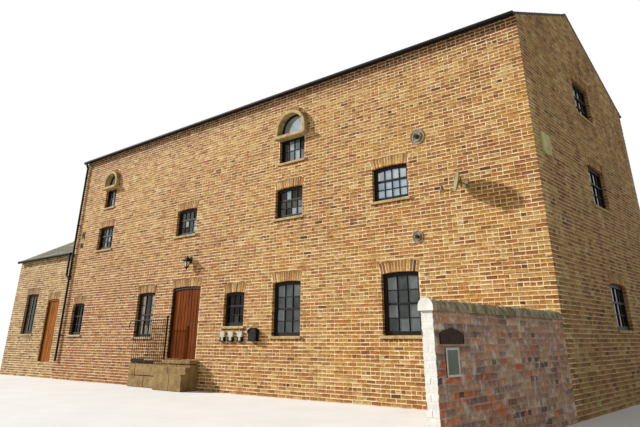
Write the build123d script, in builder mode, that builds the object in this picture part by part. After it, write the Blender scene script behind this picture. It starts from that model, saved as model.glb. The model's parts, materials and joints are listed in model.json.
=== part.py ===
import os
from math import cos, radians, sqrt, tan

from build123d import *

os.makedirs("parts", exist_ok=True)

# A three-storey brick coach house with a lower annexe on its left and a yard wall
# at its front right corner. Millimetres. X runs along the front, to the right when
# it is faced, Y runs from front to back, Z is up. The origin is on the underside of
# the front wall, at mid-length of the main block and mid-thickness of that wall.

# Main block
main_length = 17800
main_depth = 7900
wall_thickness = 340
roof_pitch = 24.0
wall_plate_height = 7710
ground_floor_level = 750
first_floor_level = 3380
second_floor_level = 5610
floor_thickness = 220
ground_slab_thickness = 150
storey_joint_below_floor = 120

# Main roof
roof_thickness = 50
verge_overhang = 15
eaves_overhang = 70
ridge_width = 300
ridge_thickness = 30
purlin_size = 150

# Windows in general
reveal = 85
frame_depth = 90
frame_face = 85
arched_frame_face = 50
rail_height = 45
rail_depth = 30
rail_share = 0.6
tall_rail_share = 0.5
tall_sash = 1100
glass_thickness = 6
sill_height = 75
sill_projection = 60
sill_ear = 60
arch_height = 225
arch_thickness = 110
arch_rise = 30
arch_chords = 4
arch_splay = 60

# Kinds of window, each as width, sill over its floor and height
small_window = (800, 820, 820)
pipe_window = (800, 650, 990)
tall_window = (930, 570, 1240)
yard_window = (960, 570, 1240)
middle_window = (980, 790, 780)
rear_upper_window = (980, 360, 800)
gable_ground_window = (1270, 680, 950)
gable_first_window = (1270, 740, 980)
gable_second_window = (1270, 810, 960)
annexe_window = (990, 930, 1420)

# Places of the front windows, from the left corner, the right one or the door
pipe_window_from_left = 1050
tall_window_left_of_door = 1990
small_window_right_of_door = 2105
yard_windows_from_right = (6650, 3310)
middle_windows_from_left = (2140,)
middle_windows_from_right = (10990, 6650, 3450)
annexe_window_from_end = 1595

# Arched loading windows under the eaves: lower light, stone shelf, round top light
arched_left_place = 2100
arched_left_width = 680
arched_right_place = 6580
arched_right_width = 930
arched_head_below_plate = 1380
arched_light_height = 660
shelf_height = 80
shelf_projection = 190
shelf_ear = 150
shelf_end_taper = 60
arch_stilt = 160
hood_band = 85
hood_projection = 120

# Doorways and their plank doors
door_from_right = 10675
door_width = 1310
door_height = 1890
annexe_door_from_house = 1005
annexe_door_width = 890
annexe_door_height = 2100
lintel_bearing = 160
door_reveal = 35
door_frame_face = 50
door_frame_depth = 75
door_stop = 15
door_thickness = 44
door_gap = 5
door_floor_gap = 8

# Door hinges
pin_radius = 6
pin_clearance = 0.3
knuckle_radius = 11
knuckle_length = 60
post_knuckle_length = 30
knuckle_play = 1.5
flap_thickness = 4
flap_width = 45
hinge_inset = 250

# Annexe
annexe_length = 4380
annexe_depth = 4400
annexe_setback = 60
annexe_plate_height = 4230
annexe_pitch = 26.5
annexe_floor_level = 520
annexe_roof_thickness = 60

# Yard wall, its half-round coping and the two bare plates near its end
yard_wall_length = 4390
yard_wall_thickness = 160
yard_wall_height = 1560
coping_width = 220
coping_height = 155
coping_edge = 30
coping_overhang = 30
coping_joint = 5
coping_stones = 7
plate_thickness = 15
name_plate_from_end = 405
name_plate_size = (590, 120)
name_plate_below_top = 370
name_plate_rise = 50
notice_from_end = 380
notice_size = (320, 320)
notice_below_top = 730

# Landing slab, the two steps below it and the kerb beside them
landing_below_floor = 15
landing_thickness = 100
landing_nosing = 30
landing_depth = 300
step_rise = 165
tread_depth = 120
steps_left_reach = 430
steps_right_reach = 825
kerb_length = 1695
kerb_depth = 250
kerb_below_floor = 150

# Railing on the kerb
rail_diameter = 28
bar_diameter = 14
post_diameter = 50
rail_height_over_kerb = 1175
rail_reach = 330
rail_bend = 160
rail_drop = 40
rail_end_inset = 45
rail_setback = 45
foot_rail_height = 90
railing_bars = 15

# Rainwater goods
gutter_radius = 60
gutter_side = 25
gutter_wall = 5
gutter_drop = 15
pipe_radius = 38
pipe_wall = 5
pipe_offset = 70
pipe_foot_over_floor = 40
pipe_bracket = 30
pipe_from_corner = 140
annexe_outlet_from_house = 90
annexe_branch_drop = 900

# Fittings on the walls
lantern_right_of_door = 90
lantern_over_door = 550
lantern_reach = 140
lantern_bottom = 90
lantern_top = 140
lantern_glass_height = 180
lantern_cap_width = 168
lantern_cap_top = 42
lantern_cap_height = 80
lantern_finial = 45
post_box_from_right = 7700
post_box_width = 285
post_box_depth = 120
post_box_over_floor = 450
post_box_side_height = 210
post_box_crown_rise = 95
vents = ((1643, 71, 650, 96), (1045, 42, 440, 44))
vent_thickness = 15
wall_boxes_from_window = ((-330, 170), (-10, 180), (345, 170))
wall_box_below_sill = 254
wall_box_height = 250
wall_box_depth = 60
upper_disc = (2640, 380)
lower_disc = (2780, 270)
upper_cross = (570, 1450)
lower_cross = (550, 1070)
tie_cross_size = 250
tie_thickness = 12
dish_from_right = 1545
dish_over_floor = 825
dish_direction = (-0.87, -0.45, 0.2)
dish_radius = 280
dish_sag = 50
dish_shell = 5
dish_sides = 20
dish_flat = 0.35
dish_standoff = 60
dish_arm_reach = 230
dish_arm_radius = 15
dish_mast_height = 200
dish_rod_reach = 340

# Frame of reference, worked out from the sizes above
front_face = -wall_thickness / 2
inner_face = wall_thickness / 2
rear_face = front_face + main_depth
rear_inner = rear_face - wall_thickness
right_face = main_length / 2
left_face = -main_length / 2
right_inner = right_face - wall_thickness
left_inner = left_face + wall_thickness
gable_centre = (front_face + rear_face) / 2
pitch = radians(roof_pitch)
gable_peak = wall_plate_height + main_depth / 2 * tan(pitch)
lower_joint = first_floor_level - storey_joint_below_floor
upper_joint = second_floor_level - storey_joint_below_floor
arched_head = wall_plate_height - arched_head_below_plate
arched_sill = arched_head - arched_light_height
shelf_top = arched_head + shelf_height
door_x = right_face - door_from_right
door_head = ground_floor_level + door_height
small_window_x = door_x + small_window_right_of_door
post_box_x = right_face - post_box_from_right
lantern_x = door_x + lantern_right_of_door
lantern_base = door_head + lantern_over_door
dish_x = right_face - dish_from_right
dish_z = first_floor_level + dish_over_floor

annexe_front = front_face + annexe_setback
annexe_rear = annexe_front + annexe_depth
annexe_left = left_face - annexe_length
annexe_front_inner = annexe_front + wall_thickness
annexe_rear_inner = annexe_rear - wall_thickness
annexe_end_inner = annexe_left + wall_thickness
annexe_centre = (annexe_front + annexe_rear) / 2
annexe_slope = radians(annexe_pitch)
annexe_peak = annexe_plate_height + annexe_depth / 2 * tan(annexe_slope)
annexe_door_x = left_face - annexe_door_from_house
annexe_door_head = annexe_floor_level + annexe_door_height
annexe_window_x = annexe_left + annexe_window_from_end

# Outer faces of the walls: local x runs to the right of someone who faces the wall,
# local y runs up and the normal points out of the wall
front = Plane(origin=(0, front_face, 0), x_dir=(1, 0, 0), z_dir=(0, -1, 0))
rear = Plane(origin=(0, rear_face, 0), x_dir=(-1, 0, 0), z_dir=(0, 1, 0))
right_gable = Plane(origin=(right_face, 0, 0), x_dir=(0, 1, 0), z_dir=(1, 0, 0))
left_gable = Plane(origin=(left_face, 0, 0), x_dir=(0, -1, 0), z_dir=(-1, 0, 0))
annexe_wall = Plane(origin=(0, annexe_front, 0), x_dir=(1, 0, 0), z_dir=(0, -1, 0))
annexe_back = Plane(origin=(0, annexe_rear, 0), x_dir=(-1, 0, 0), z_dir=(0, 1, 0))


def window(x, floor_level, kind):
    """A window of one kind over its floor, as place along the wall, width, sill and head."""
    width, sill, height = kind
    return (x, width, floor_level + sill, floor_level + sill + height)


# Every window with a segmental head, wall by wall
middle_row = [left_face + distance for distance in middle_windows_from_left]
middle_row += [right_face - distance for distance in middle_windows_from_right]
front_left_windows = [
    window(left_face + pipe_window_from_left, ground_floor_level, pipe_window),
    window(door_x - tall_window_left_of_door, ground_floor_level, tall_window),
]
front_right_windows = [window(small_window_x, ground_floor_level, small_window)]
for distance in yard_windows_from_right:
    front_right_windows.append(window(right_face - distance, ground_floor_level, yard_window))
front_first_windows = [window(x, first_floor_level, middle_window) for x in middle_row]
rear_ground_windows = [window(-x, ground_floor_level, yard_window) for x in middle_row]
rear_first_windows = [window(-x, first_floor_level, middle_window) for x in middle_row]
rear_second_windows = [
    window(-x, second_floor_level, rear_upper_window) for x in middle_row[::2]
]
right_gable_windows = [
    window(gable_centre, ground_floor_level, gable_ground_window),
    window(gable_centre, first_floor_level, gable_first_window),
    window(gable_centre, second_floor_level, gable_second_window),
]
left_gable_windows = [window(-gable_centre, second_floor_level, gable_second_window)]
annexe_windows = [window(annexe_window_x, annexe_floor_level, annexe_window)]
annexe_rear_windows = [window(-annexe_window_x, annexe_floor_level, annexe_window)]
arched_windows = [
    (left_face + arched_left_place, arched_left_width),
    (right_face - arched_right_place, arched_right_width),
]

glazed_walls = [
    (front, front_left_windows + front_right_windows + front_first_windows),
    (right_gable, right_gable_windows),
    (left_gable, left_gable_windows),
    (rear, rear_ground_windows + rear_first_windows + rear_second_windows),
    (annexe_wall, annexe_windows),
    (annexe_back, annexe_rear_windows),
]

# The two doorways, as front face of their wall, centre, width, floor and head
doorways = {
    "front_door": (front_face, door_x, door_width, ground_floor_level, door_head),
    "annexe_door": (
        annexe_front,
        annexe_door_x,
        annexe_door_width,
        annexe_floor_level,
        annexe_door_head,
    ),
}


def save(part, name):
    """Label a finished piece and write it to its own file."""
    part.label = name
    export_step(part, f"parts/{name}.step")


def block(x0, x1, y0, y1, z0, z1, mode=Mode.ADD):
    """A plain block between two corners, in the piece being built."""
    with BuildSketch(Plane.XY.offset(z0)) as base:
        with Locations(((x0 + x1) / 2, (y0 + y1) / 2)):
            Rectangle(x1 - x0, y1 - y0)
    extrude(base.sketch, amount=z1 - z0, mode=mode)


def shallow_arc(x, half, centre, radius):
    """Points along a shallow arch, from its right end to its left one."""
    steps = [half * (1 - 2 * index / arch_chords) for index in range(arch_chords + 1)]
    return [(x + step, centre + sqrt(radius**2 - step**2)) for step in steps]


def segment_outline(x, width, sill, head, inset=0, mode=Mode.ADD):
    """An upright opening with a segmental top, drawn in by an inset on all sides."""
    half = width / 2 - inset
    radius = (half**2 + arch_rise**2) / (2 * arch_rise)
    top = shallow_arc(x, half, head - inset + arch_rise - radius, radius)
    with BuildLine() as edge:
        Polyline((x - half, sill + inset), (x + half, sill + inset), *top, close=True)
    make_face(edge.edges(), mode=mode)


def round_outline(x, radius, inset=0, mode=Mode.ADD):
    """A stilted half circle that stands on the stone shelf."""
    spring = shelf_top + arch_stilt
    half = radius - inset
    low = shelf_top + inset
    with BuildLine() as edge:
        Polyline((x + half, spring), (x + half, low), (x - half, low), (x - half, spring))
        ThreePointArc((x - half, spring), (x, spring + half), (x + half, spring))
    make_face(edge.edges(), mode=mode)


def panel(x, width, low, high, mode=Mode.ADD):
    """An upright rectangle, centred at x, from one height to another."""
    with Locations((x, (low + high) / 2)):
        Rectangle(width, high - low, mode=mode)


def arched_lights(x, width, mode=Mode.ADD):
    """The two glazed openings inside the frame of an arched window."""
    face = arched_frame_face
    panel(x, width - 2 * face, arched_sill + face, arched_head - face, mode)
    round_outline(x, width / 2, face, mode)


def brick_arch_outline(x, width, head):
    """The band of upright bricks over an opening, splayed at its ends."""
    radius = (width**2 / 4 + arch_rise**2) / (2 * arch_rise)
    centre = head + arch_rise - radius
    soffit = shallow_arc(x, width / 2, centre, radius)
    crown = shallow_arc(x, width / 2 + arch_splay, centre, radius + arch_height)
    with BuildLine() as edge:
        Polyline(*soffit, *reversed(crown), close=True)
    make_face(edge.edges())


def sill_outline(x, width, sill):
    """The front of a window sill, longer than its opening by an ear at each end."""
    panel(x, width + 2 * sill_ear, sill - sill_height, sill)


def pierce(face, windows):
    """Cut window holes through a wall, with the seats of their arches and sills."""
    for x, width, sill, head in windows:
        with BuildSketch(face) as hole:
            segment_outline(x, width, sill, head)
        extrude(hole.sketch, amount=-wall_thickness, mode=Mode.SUBTRACT)
        with BuildSketch(face) as arch_seat:
            brick_arch_outline(x, width, head)
        extrude(arch_seat.sketch, amount=-arch_thickness, mode=Mode.SUBTRACT)
        with BuildSketch(face) as sill_seat:
            sill_outline(x, width, sill)
        extrude(sill_seat.sketch, amount=-reveal, mode=Mode.SUBTRACT)


def pitched_wall(x0, x1, outer, inner, base, plate, slope):
    """A length of wall whose head is cut to the slope of the roof that lies on it."""
    rise = abs(inner - outer) * tan(slope)
    with BuildSketch(Plane(origin=(x0, 0, 0), x_dir=(0, 1, 0), z_dir=(1, 0, 0))) as profile:
        with BuildLine() as edge:
            Polyline((outer, base), (inner, base), (inner, plate + rise), (outer, plate), close=True)
        make_face(edge.edges())
    extrude(profile.sketch, amount=x1 - x0)


def gable_wall(x0, y0, y1, plate, slope):
    """A gable wall between a front and a rear wall, from the ground to the roof."""
    peak = plate + (y1 - y0) / 2 * tan(slope)
    with BuildSketch(Plane(origin=(x0, 0, 0), x_dir=(0, 1, 0), z_dir=(1, 0, 0))) as profile:
        with BuildLine() as edge:
            Polyline((y0, 0), (y1, 0), (y1, plate), ((y0 + y1) / 2, peak), (y0, plate), close=True)
        make_face(edge.edges())
    extrude(profile.sketch, amount=wall_thickness)


def along_x(x0, x1, points):
    """A straight length with the same outline in depth and height all along it."""
    with BuildSketch(Plane(origin=(x0, 0, 0), x_dir=(0, 1, 0), z_dir=(1, 0, 0))) as profile:
        with BuildLine() as edge:
            Polyline(*points, close=True)
        make_face(edge.edges())
    extrude(profile.sketch, amount=x1 - x0)


# The front wall below the doorway
with BuildPart() as front_plinth:
    block(left_face, right_face, front_face, inner_face, 0, ground_floor_level)
save(front_plinth.part, "front_plinth")

# The ground storey of the front wall, left of the doorway and right of it
door_left = door_x - door_width / 2
door_right = door_x + door_width / 2
bearing = (door_left - lintel_bearing, door_right + lintel_bearing)
for name, x0, x1, windows in (
    ("front_wall_left", left_face, door_left, front_left_windows),
    ("front_wall_right", door_right, right_face, front_right_windows),
):
    with BuildPart() as wall:
        block(x0, x1, front_face, inner_face, ground_floor_level, lower_joint)
        block(*bearing, front_face, inner_face, door_head, lower_joint, Mode.SUBTRACT)
        pierce(front, windows)
    save(wall.part, name)

# The wall over the doorway, with a segmental soffit and the seat of its brick arch
with BuildPart() as front_wall_over_door:
    block(*bearing, front_face, inner_face, door_head, lower_joint)
    with BuildSketch(front):
        segment_outline(door_x, door_width, ground_floor_level, door_head)
    extrude(amount=-wall_thickness, mode=Mode.SUBTRACT)
    with BuildSketch(front):
        brick_arch_outline(door_x, door_width, door_head)
    extrude(amount=-arch_thickness, mode=Mode.SUBTRACT)
save(front_wall_over_door.part, "front_wall_over_door")

# The first storey of the front wall
with BuildPart() as front_wall_first:
    block(left_face, right_face, front_face, inner_face, lower_joint, upper_joint)
    pierce(front, front_first_windows)
save(front_wall_first.part, "front_wall_first")

# The second storey of the front wall, with the two arched windows
with BuildPart() as front_wall_second:
    pitched_wall(
        left_face, right_face, front_face, inner_face, upper_joint, wall_plate_height, pitch
    )
    for x, width in arched_windows:
        with BuildSketch(front):
            panel(x, width, arched_sill, shelf_top)
            round_outline(x, width / 2)
        extrude(amount=-wall_thickness, mode=Mode.SUBTRACT)
        with BuildSketch(front):
            panel(x, width + 2 * shelf_ear, arched_head, shelf_top)
            sill_outline(x, width, arched_sill)
            round_outline(x, width / 2 + hood_band)
        extrude(amount=-reveal, mode=Mode.SUBTRACT)
save(front_wall_second.part, "front_wall_second")

# The gable walls, between the front wall and the rear wall
plate_at_inner_face = wall_plate_height + wall_thickness * tan(pitch)
for name, x0, face, windows in (
    ("right_gable_wall", right_inner, right_gable, right_gable_windows),
    ("left_gable_wall", left_face, left_gable, left_gable_windows),
):
    with BuildPart() as wall:
        gable_wall(x0, inner_face, rear_inner, plate_at_inner_face, pitch)
        pierce(face, windows)
    save(wall.part, name)

# The rear wall, storey by storey
for name, z0, z1, windows in (
    ("rear_wall_ground", 0, lower_joint, rear_ground_windows),
    ("rear_wall_first", lower_joint, upper_joint, rear_first_windows),
):
    with BuildPart() as wall:
        block(left_face, right_face, rear_inner, rear_face, z0, z1)
        pierce(rear, windows)
    save(wall.part, name)

with BuildPart() as rear_wall_second:
    pitched_wall(
        left_face, right_face, rear_face, rear_inner, upper_joint, wall_plate_height, pitch
    )
    pierce(rear, rear_second_windows)
save(rear_wall_second.part, "rear_wall_second")

# Floors, each between the four walls
for name, top, thickness in (
    ("ground_floor", ground_floor_level, ground_slab_thickness),
    ("first_floor", first_floor_level, floor_thickness),
    ("second_floor", second_floor_level, floor_thickness),
):
    with BuildPart() as floor:
        block(left_inner, right_inner, inner_face, rear_inner, top - thickness, top)
    save(floor.part, name)

# The two slopes of the main roof, out over the gables and the eaves
roof_left = left_face - verge_overhang
roof_right = right_face + verge_overhang
roof_lift = roof_thickness / cos(pitch)
eaves_height = wall_plate_height - eaves_overhang * tan(pitch)
for name, eaves in (
    ("roof_front_slope", front_face - eaves_overhang),
    ("roof_rear_slope", rear_face + eaves_overhang),
):
    with BuildPart() as slope:
        along_x(
            roof_left,
            roof_right,
            [
                (eaves, eaves_height),
                (gable_centre, gable_peak),
                (gable_centre, gable_peak + roof_lift),
                (eaves, eaves_height + roof_lift),
            ],
        )
    save(slope.part, name)

# The annexe roof, one angled slab up against the main block
annexe_lift = annexe_roof_thickness / cos(annexe_slope)
annexe_eaves = annexe_plate_height - eaves_overhang * tan(annexe_slope)
with BuildPart() as annexe_roof:
    along_x(
        annexe_left - verge_overhang,
        left_face,
        [
            (annexe_front - eaves_overhang, annexe_eaves),
            (annexe_centre, annexe_peak),
            (annexe_rear + eaves_overhang, annexe_eaves),
            (annexe_rear + eaves_overhang, annexe_eaves + annexe_lift),
            (annexe_centre, annexe_peak + annexe_lift),
            (annexe_front - eaves_overhang, annexe_eaves + annexe_lift),
        ],
    )
save(annexe_roof.part, "annexe_roof")

# Angled ridge tiles on both roofs
ridges = (
    (roof_left, roof_right, gable_centre, gable_peak + roof_lift, pitch),
    (annexe_left - verge_overhang, left_face, annexe_centre, annexe_peak + annexe_lift, annexe_slope),
)
with BuildPart() as ridge_tiles:
    for x0, x1, y, top, slope in ridges:
        half = ridge_width / 2
        low = top - half * tan(slope)
        thick = ridge_thickness / cos(slope)
        along_x(
            x0,
            x1,
            [
                (y - half, low),
                (y, top),
                (y + half, low),
                (y + half, low + thick),
                (y, top + thick),
                (y - half, low + thick),
            ],
        )
save(ridge_tiles.part, "ridge_tiles")

# Two purlins under each slope of the main roof and a ridge beam in both roofs
with BuildPart() as roof_purlins:
    half = purlin_size / 2
    for share in (-2 / 3, -1 / 3, 1 / 3, 2 / 3):
        y = gable_centre + share * main_depth / 2
        under = gable_peak - abs(share) * main_depth / 2 * tan(pitch)
        lean = half * tan(pitch) * (1 if share < 0 else -1)
        along_x(
            left_inner,
            right_inner,
            [
                (y - half, under - purlin_size),
                (y + half, under - purlin_size),
                (y + half, under + lean),
                (y - half, under - lean),
            ],
        )
    for x0, x1, y, peak, slope in (
        (left_inner, right_inner, gable_centre, gable_peak, pitch),
        (annexe_end_inner, left_face, annexe_centre, annexe_peak, annexe_slope),
    ):
        shoulder = peak - half * tan(slope)
        along_x(
            x0,
            x1,
            [
                (y - half, shoulder - purlin_size),
                (y + half, shoulder - purlin_size),
                (y + half, shoulder),
                (y, peak),
                (y - half, shoulder),
            ],
        )
save(roof_purlins.part, "roof_purlins")

# Window frames with their meeting rails, on every wall
with BuildPart() as window_frames:
    for face, windows in glazed_walls:
        for x, width, sill, head in windows:
            share = tall_rail_share if head - sill > tall_sash else rail_share
            rail = sill + share * (head - sill)
            with BuildSketch(face.offset(-reveal)):
                segment_outline(x, width, sill, head)
                segment_outline(x, width, sill, head, frame_face, Mode.SUBTRACT)
            extrude(amount=-frame_depth)
            with BuildSketch(face.offset(-reveal)):
                panel(x, width - 2 * frame_face, rail - rail_height / 2, rail + rail_height / 2)
            extrude(amount=-rail_depth)
    for x, width in arched_windows:
        with BuildSketch(front.offset(-reveal)):
            panel(x, width, arched_sill, shelf_top)
            round_outline(x, width / 2)
            arched_lights(x, width, Mode.SUBTRACT)
        extrude(amount=-frame_depth)
save(window_frames.part, "window_frames")

# Glass behind the rails
with BuildPart() as window_glass:
    for face, windows in glazed_walls:
        for x, width, sill, head in windows:
            with BuildSketch(face.offset(-reveal - rail_depth)):
                segment_outline(x, width, sill, head, frame_face)
            extrude(amount=-glass_thickness)
    for x, width in arched_windows:
        with BuildSketch(front.offset(-reveal - rail_depth)):
            arched_lights(x, width)
        extrude(amount=-glass_thickness)
save(window_glass.part, "window_glass")

# Stone sills under every window
with BuildPart() as window_sills:
    arched_sills = [(x, width, arched_sill, arched_head) for x, width in arched_windows]
    for face, windows in glazed_walls + [(front, arched_sills)]:
        for x, width, sill, head in windows:
            with BuildSketch(face.offset(sill_projection)):
                sill_outline(x, width, sill)
            extrude(amount=-sill_projection - reveal)
save(window_sills.part, "window_sills")

# Flat arches of upright bricks over every window and both doors
with BuildPart() as brick_arches:
    for face, windows in glazed_walls:
        for x, width, sill, head in windows:
            with BuildSketch(face):
                brick_arch_outline(x, width, head)
            extrude(amount=-arch_thickness)
    for y, x, width, floor_level, head in doorways.values():
        with BuildSketch(Plane(origin=(0, y, 0), x_dir=(1, 0, 0), z_dir=(0, -1, 0))):
            brick_arch_outline(x, width, head)
        extrude(amount=-arch_thickness)
save(brick_arches.part, "brick_arches")

# Stone surrounds of the arched windows: a stilted hood that stands on a shelf
with BuildPart() as arched_surrounds:
    for x, width in arched_windows:
        with BuildSketch(front.offset(hood_projection)):
            round_outline(x, width / 2 + hood_band)
            round_outline(x, width / 2, mode=Mode.SUBTRACT)
        extrude(amount=-hood_projection - reveal)
        half = width / 2 + shelf_ear
        with BuildSketch(front):
            panel(x, 2 * half, arched_head, shelf_top)
        extrude(amount=-reveal)
        with BuildSketch(front):
            with BuildLine():
                Polyline(
                    (x - half, shelf_top),
                    (x + half, shelf_top),
                    (x + half - shelf_end_taper, arched_head),
                    (x - half + shelf_end_taper, arched_head),
                    close=True,
                )
            make_face()
        extrude(amount=shelf_projection)
save(arched_surrounds.part, "arched_surrounds")


def door_outline(x, width, low, head, inset=0, mode=Mode.ADD):
    """A doorway with a segmental top, drawn in by an inset at its sides and its head."""
    segment_outline(x, width, low - inset, head, inset, mode)


# Door frames with the stops that the leaves shut against
stop_depth = door_frame_depth - door_thickness - door_gap
stop_face = door_frame_face + door_stop
with BuildPart() as door_frames:
    for y, x, width, floor_level, head in doorways.values():
        frame_plane = Plane(origin=(0, y + door_reveal, 0), x_dir=(1, 0, 0), z_dir=(0, -1, 0))
        with BuildSketch(frame_plane):
            door_outline(x, width, floor_level, head)
            door_outline(x, width, floor_level, head, door_frame_face, Mode.SUBTRACT)
        extrude(amount=-door_frame_depth)
        with BuildSketch(frame_plane):
            door_outline(x, width, floor_level, head, door_frame_face)
            door_outline(x, width, floor_level, head, stop_face, Mode.SUBTRACT)
        extrude(amount=-stop_depth)
save(door_frames.part, "door_frames")

# Door leaves, flush with the inner face of their frames
leaf_inset = door_frame_face + door_gap
for name, (y, x, width, floor_level, head) in doorways.items():
    inner = y + door_reveal + door_frame_depth
    with BuildPart() as leaf:
        with BuildSketch(Plane(origin=(0, inner, 0), x_dir=(1, 0, 0), z_dir=(0, -1, 0))):
            door_outline(x, width, floor_level + door_floor_gap, head, leaf_inset)
        extrude(amount=door_thickness)
    save(leaf.part, name)


def hinge_length(axis_x, axis_y, reach, z0, z1, bore=0):
    """A length of hinge barrel with its flap, solid or bored for the pin."""
    flap_low = axis_y - knuckle_radius
    with BuildSketch(Plane.XY.offset(z0)) as section:
        with Locations((axis_x, axis_y)):
            Circle(knuckle_radius)
        with Locations((axis_x + reach / 2, flap_low + flap_thickness / 2)):
            Rectangle(abs(reach), flap_thickness)
        if bore:
            with Locations((axis_x, axis_y)):
                Circle(bore, mode=Mode.SUBTRACT)
    extrude(section.sketch, amount=z1 - z0)


# Two hinges to a door: the barrel on the leaf turns on a pin held by the frame
hinges = []
for name, (y, x, width, floor_level, head) in doorways.items():
    axis_x = x - width / 2 + door_frame_face + door_gap / 2
    axis_y = y + door_reveal + door_frame_depth + knuckle_radius
    low = floor_level + door_floor_gap + hinge_inset
    high = head - leaf_inset - hinge_inset
    for z in (low, high):
        hinges.append((name, axis_x, axis_y, z))

with BuildPart() as hinge_posts:
    half = knuckle_length / 2 + knuckle_play
    for name, axis_x, axis_y, z in hinges:
        for z0 in (z - half - post_knuckle_length, z + half):
            hinge_length(axis_x, axis_y, -flap_width, z0, z0 + post_knuckle_length)
        with Locations((axis_x, axis_y, z)):
            Cylinder(pin_radius, 2 * half + post_knuckle_length)
save(hinge_posts.part, "hinge_posts")

for door in doorways:
    with BuildPart() as leaf_hinges:
        for name, axis_x, axis_y, z in hinges:
            if name == door:
                z0 = z - knuckle_length / 2
                bore = pin_radius + pin_clearance
                hinge_length(axis_x, axis_y, flap_width, z0, z0 + knuckle_length, bore)
    save(leaf_hinges.part, f"{door}_hinges")

# A landing slab level with the door, two steps down from it and the kerb beside them
steps_left = door_x - steps_left_reach
steps_right = door_x + steps_right_reach
landing_top = ground_floor_level - landing_below_floor
landing_base = landing_top - landing_thickness
landing_front = front_face - landing_depth
riser_front = landing_front + landing_nosing
middle_front = landing_front - tread_depth
lower_front = middle_front - tread_depth
with BuildPart() as door_steps:
    block(steps_left, steps_right, landing_front, front_face, landing_base, landing_top)
    block(steps_left, steps_right, riser_front, front_face, 0, landing_base)
    block(steps_left, steps_right, middle_front, riser_front, 0, landing_top - step_rise)
    block(steps_left, steps_right, lower_front, middle_front, 0, landing_top - 2 * step_rise)
save(door_steps.part, "door_steps")

kerb_left = steps_left - kerb_length
kerb_top = ground_floor_level - kerb_below_floor
with BuildPart() as stone_kerb:
    block(kerb_left, steps_left, front_face - kerb_depth, front_face, 0, kerb_top)
save(stone_kerb.part, "stone_kerb")

# Iron railing on the kerb: a top rail that curls down at its left end, bars, a foot
# rail and a stouter post with a knob by the door
rail_y = front_face - kerb_depth + rail_setback
rail_top = kerb_top + rail_height_over_kerb
rail_left = kerb_left + rail_end_inset
rail_right = steps_left - rail_end_inset
rail_tip = rail_left - rail_reach
with BuildPart() as railing:
    with BuildLine(Plane(origin=(0, rail_y, 0), x_dir=(1, 0, 0), z_dir=(0, -1, 0))):
        Polyline(
            (rail_right, rail_top),
            (rail_tip + rail_bend, rail_top),
            (rail_tip + 0.3 * rail_bend, rail_top - 0.3 * rail_bend),
            (rail_tip, rail_top - rail_bend),
            (rail_tip, rail_top - rail_bend - rail_drop),
        )
    with BuildSketch(Plane(origin=(rail_right, rail_y, rail_top), z_dir=(-1, 0, 0))):
        RegularPolygon(rail_diameter / 2, 8)
    sweep(transition=Transition.RIGHT)
    spacing = (rail_right - rail_left) / (railing_bars + 1)
    with BuildSketch(Plane.XY.offset(kerb_top)):
        for index in range(railing_bars + 1):
            with Locations((rail_left + index * spacing, rail_y)):
                RegularPolygon(bar_diameter / 2, 8)
    extrude(amount=rail_height_over_kerb)
    foot_z = kerb_top + foot_rail_height
    half = bar_diameter / 2
    block(rail_left, rail_right, rail_y - half, rail_y + half, foot_z - half, foot_z + half)
    for radius, low, high in (
        (post_diameter / 2, kerb_top, rail_top + post_diameter),
        (0.7 * post_diameter, rail_top + post_diameter, rail_top + 2 * post_diameter),
    ):
        with BuildSketch(Plane.XY.offset(low)):
            with Locations((rail_right, rail_y)):
                RegularPolygon(radius, 8)
        extrude(amount=high - low)
save(railing.part, "railing")

# Gutters along all four eaves, open above and closed at their ends
gutter_runs = (
    (roof_left, roof_right, front_face - eaves_overhang, -1, eaves_height + roof_lift),
    (roof_left, roof_right, rear_face + eaves_overhang, 1, eaves_height + roof_lift),
    (
        annexe_left - verge_overhang,
        left_face,
        annexe_front - eaves_overhang,
        -1,
        annexe_eaves + annexe_lift,
    ),
    (
        annexe_left - verge_overhang,
        left_face,
        annexe_rear + eaves_overhang,
        1,
        annexe_eaves + annexe_lift,
    ),
)
with BuildPart() as gutters:
    for x0, x1, back, outward, edge_height in gutter_runs:
        y = back + outward * gutter_radius
        top = edge_height - gutter_drop
        base = top - gutter_side
        for start, length, radius, mode in (
            (x0, x1 - x0, gutter_radius, Mode.ADD),
            (
                x0 + gutter_wall,
                x1 - x0 - 2 * gutter_wall,
                gutter_radius - gutter_wall,
                Mode.SUBTRACT,
            ),
        ):
            with BuildSketch(Plane(origin=(start, 0, 0), x_dir=(0, 1, 0), z_dir=(1, 0, 0))):
                with BuildLine():
                    Polyline((y + radius, base), (y + radius, top), (y - radius, top), (y - radius, base))
                    ThreePointArc((y - radius, base), (y, base - radius), (y + radius, base))
                make_face()
            extrude(amount=length, mode=mode)
save(gutters.part, "gutters")

# Downpipe from the main gutter along the left corner, with a branch that takes the
# water of the annexe gutter to it
pipe_x = left_face + pipe_from_corner
pipe_y = front_face - pipe_offset
pipe_foot = annexe_floor_level + pipe_foot_over_floor
branch_x = left_face - annexe_outlet_from_house
outlets = []
for run in (gutter_runs[0], gutter_runs[2]):
    outlets.append((run[2] - gutter_radius, run[4] - gutter_drop - gutter_side - gutter_radius))
main_outlet, branch_outlet = outlets
branch_foot = branch_outlet[1] - annexe_branch_drop
pipe_routes = (
    [
        (pipe_x, main_outlet[0], main_outlet[1]),
        (pipe_x, main_outlet[0], main_outlet[1] - pipe_radius),
        (pipe_x, pipe_y, main_outlet[1] - 4 * pipe_radius),
        (pipe_x, pipe_y, pipe_foot),
    ],
    [
        (branch_x, branch_outlet[0], branch_outlet[1]),
        (branch_x, branch_outlet[0], branch_outlet[1] - pipe_radius),
        (branch_x, pipe_y, branch_outlet[1] - 4 * pipe_radius),
        (branch_x, pipe_y, branch_foot + 4 * pipe_radius),
        (pipe_x, pipe_y, branch_foot),
    ],
)
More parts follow.
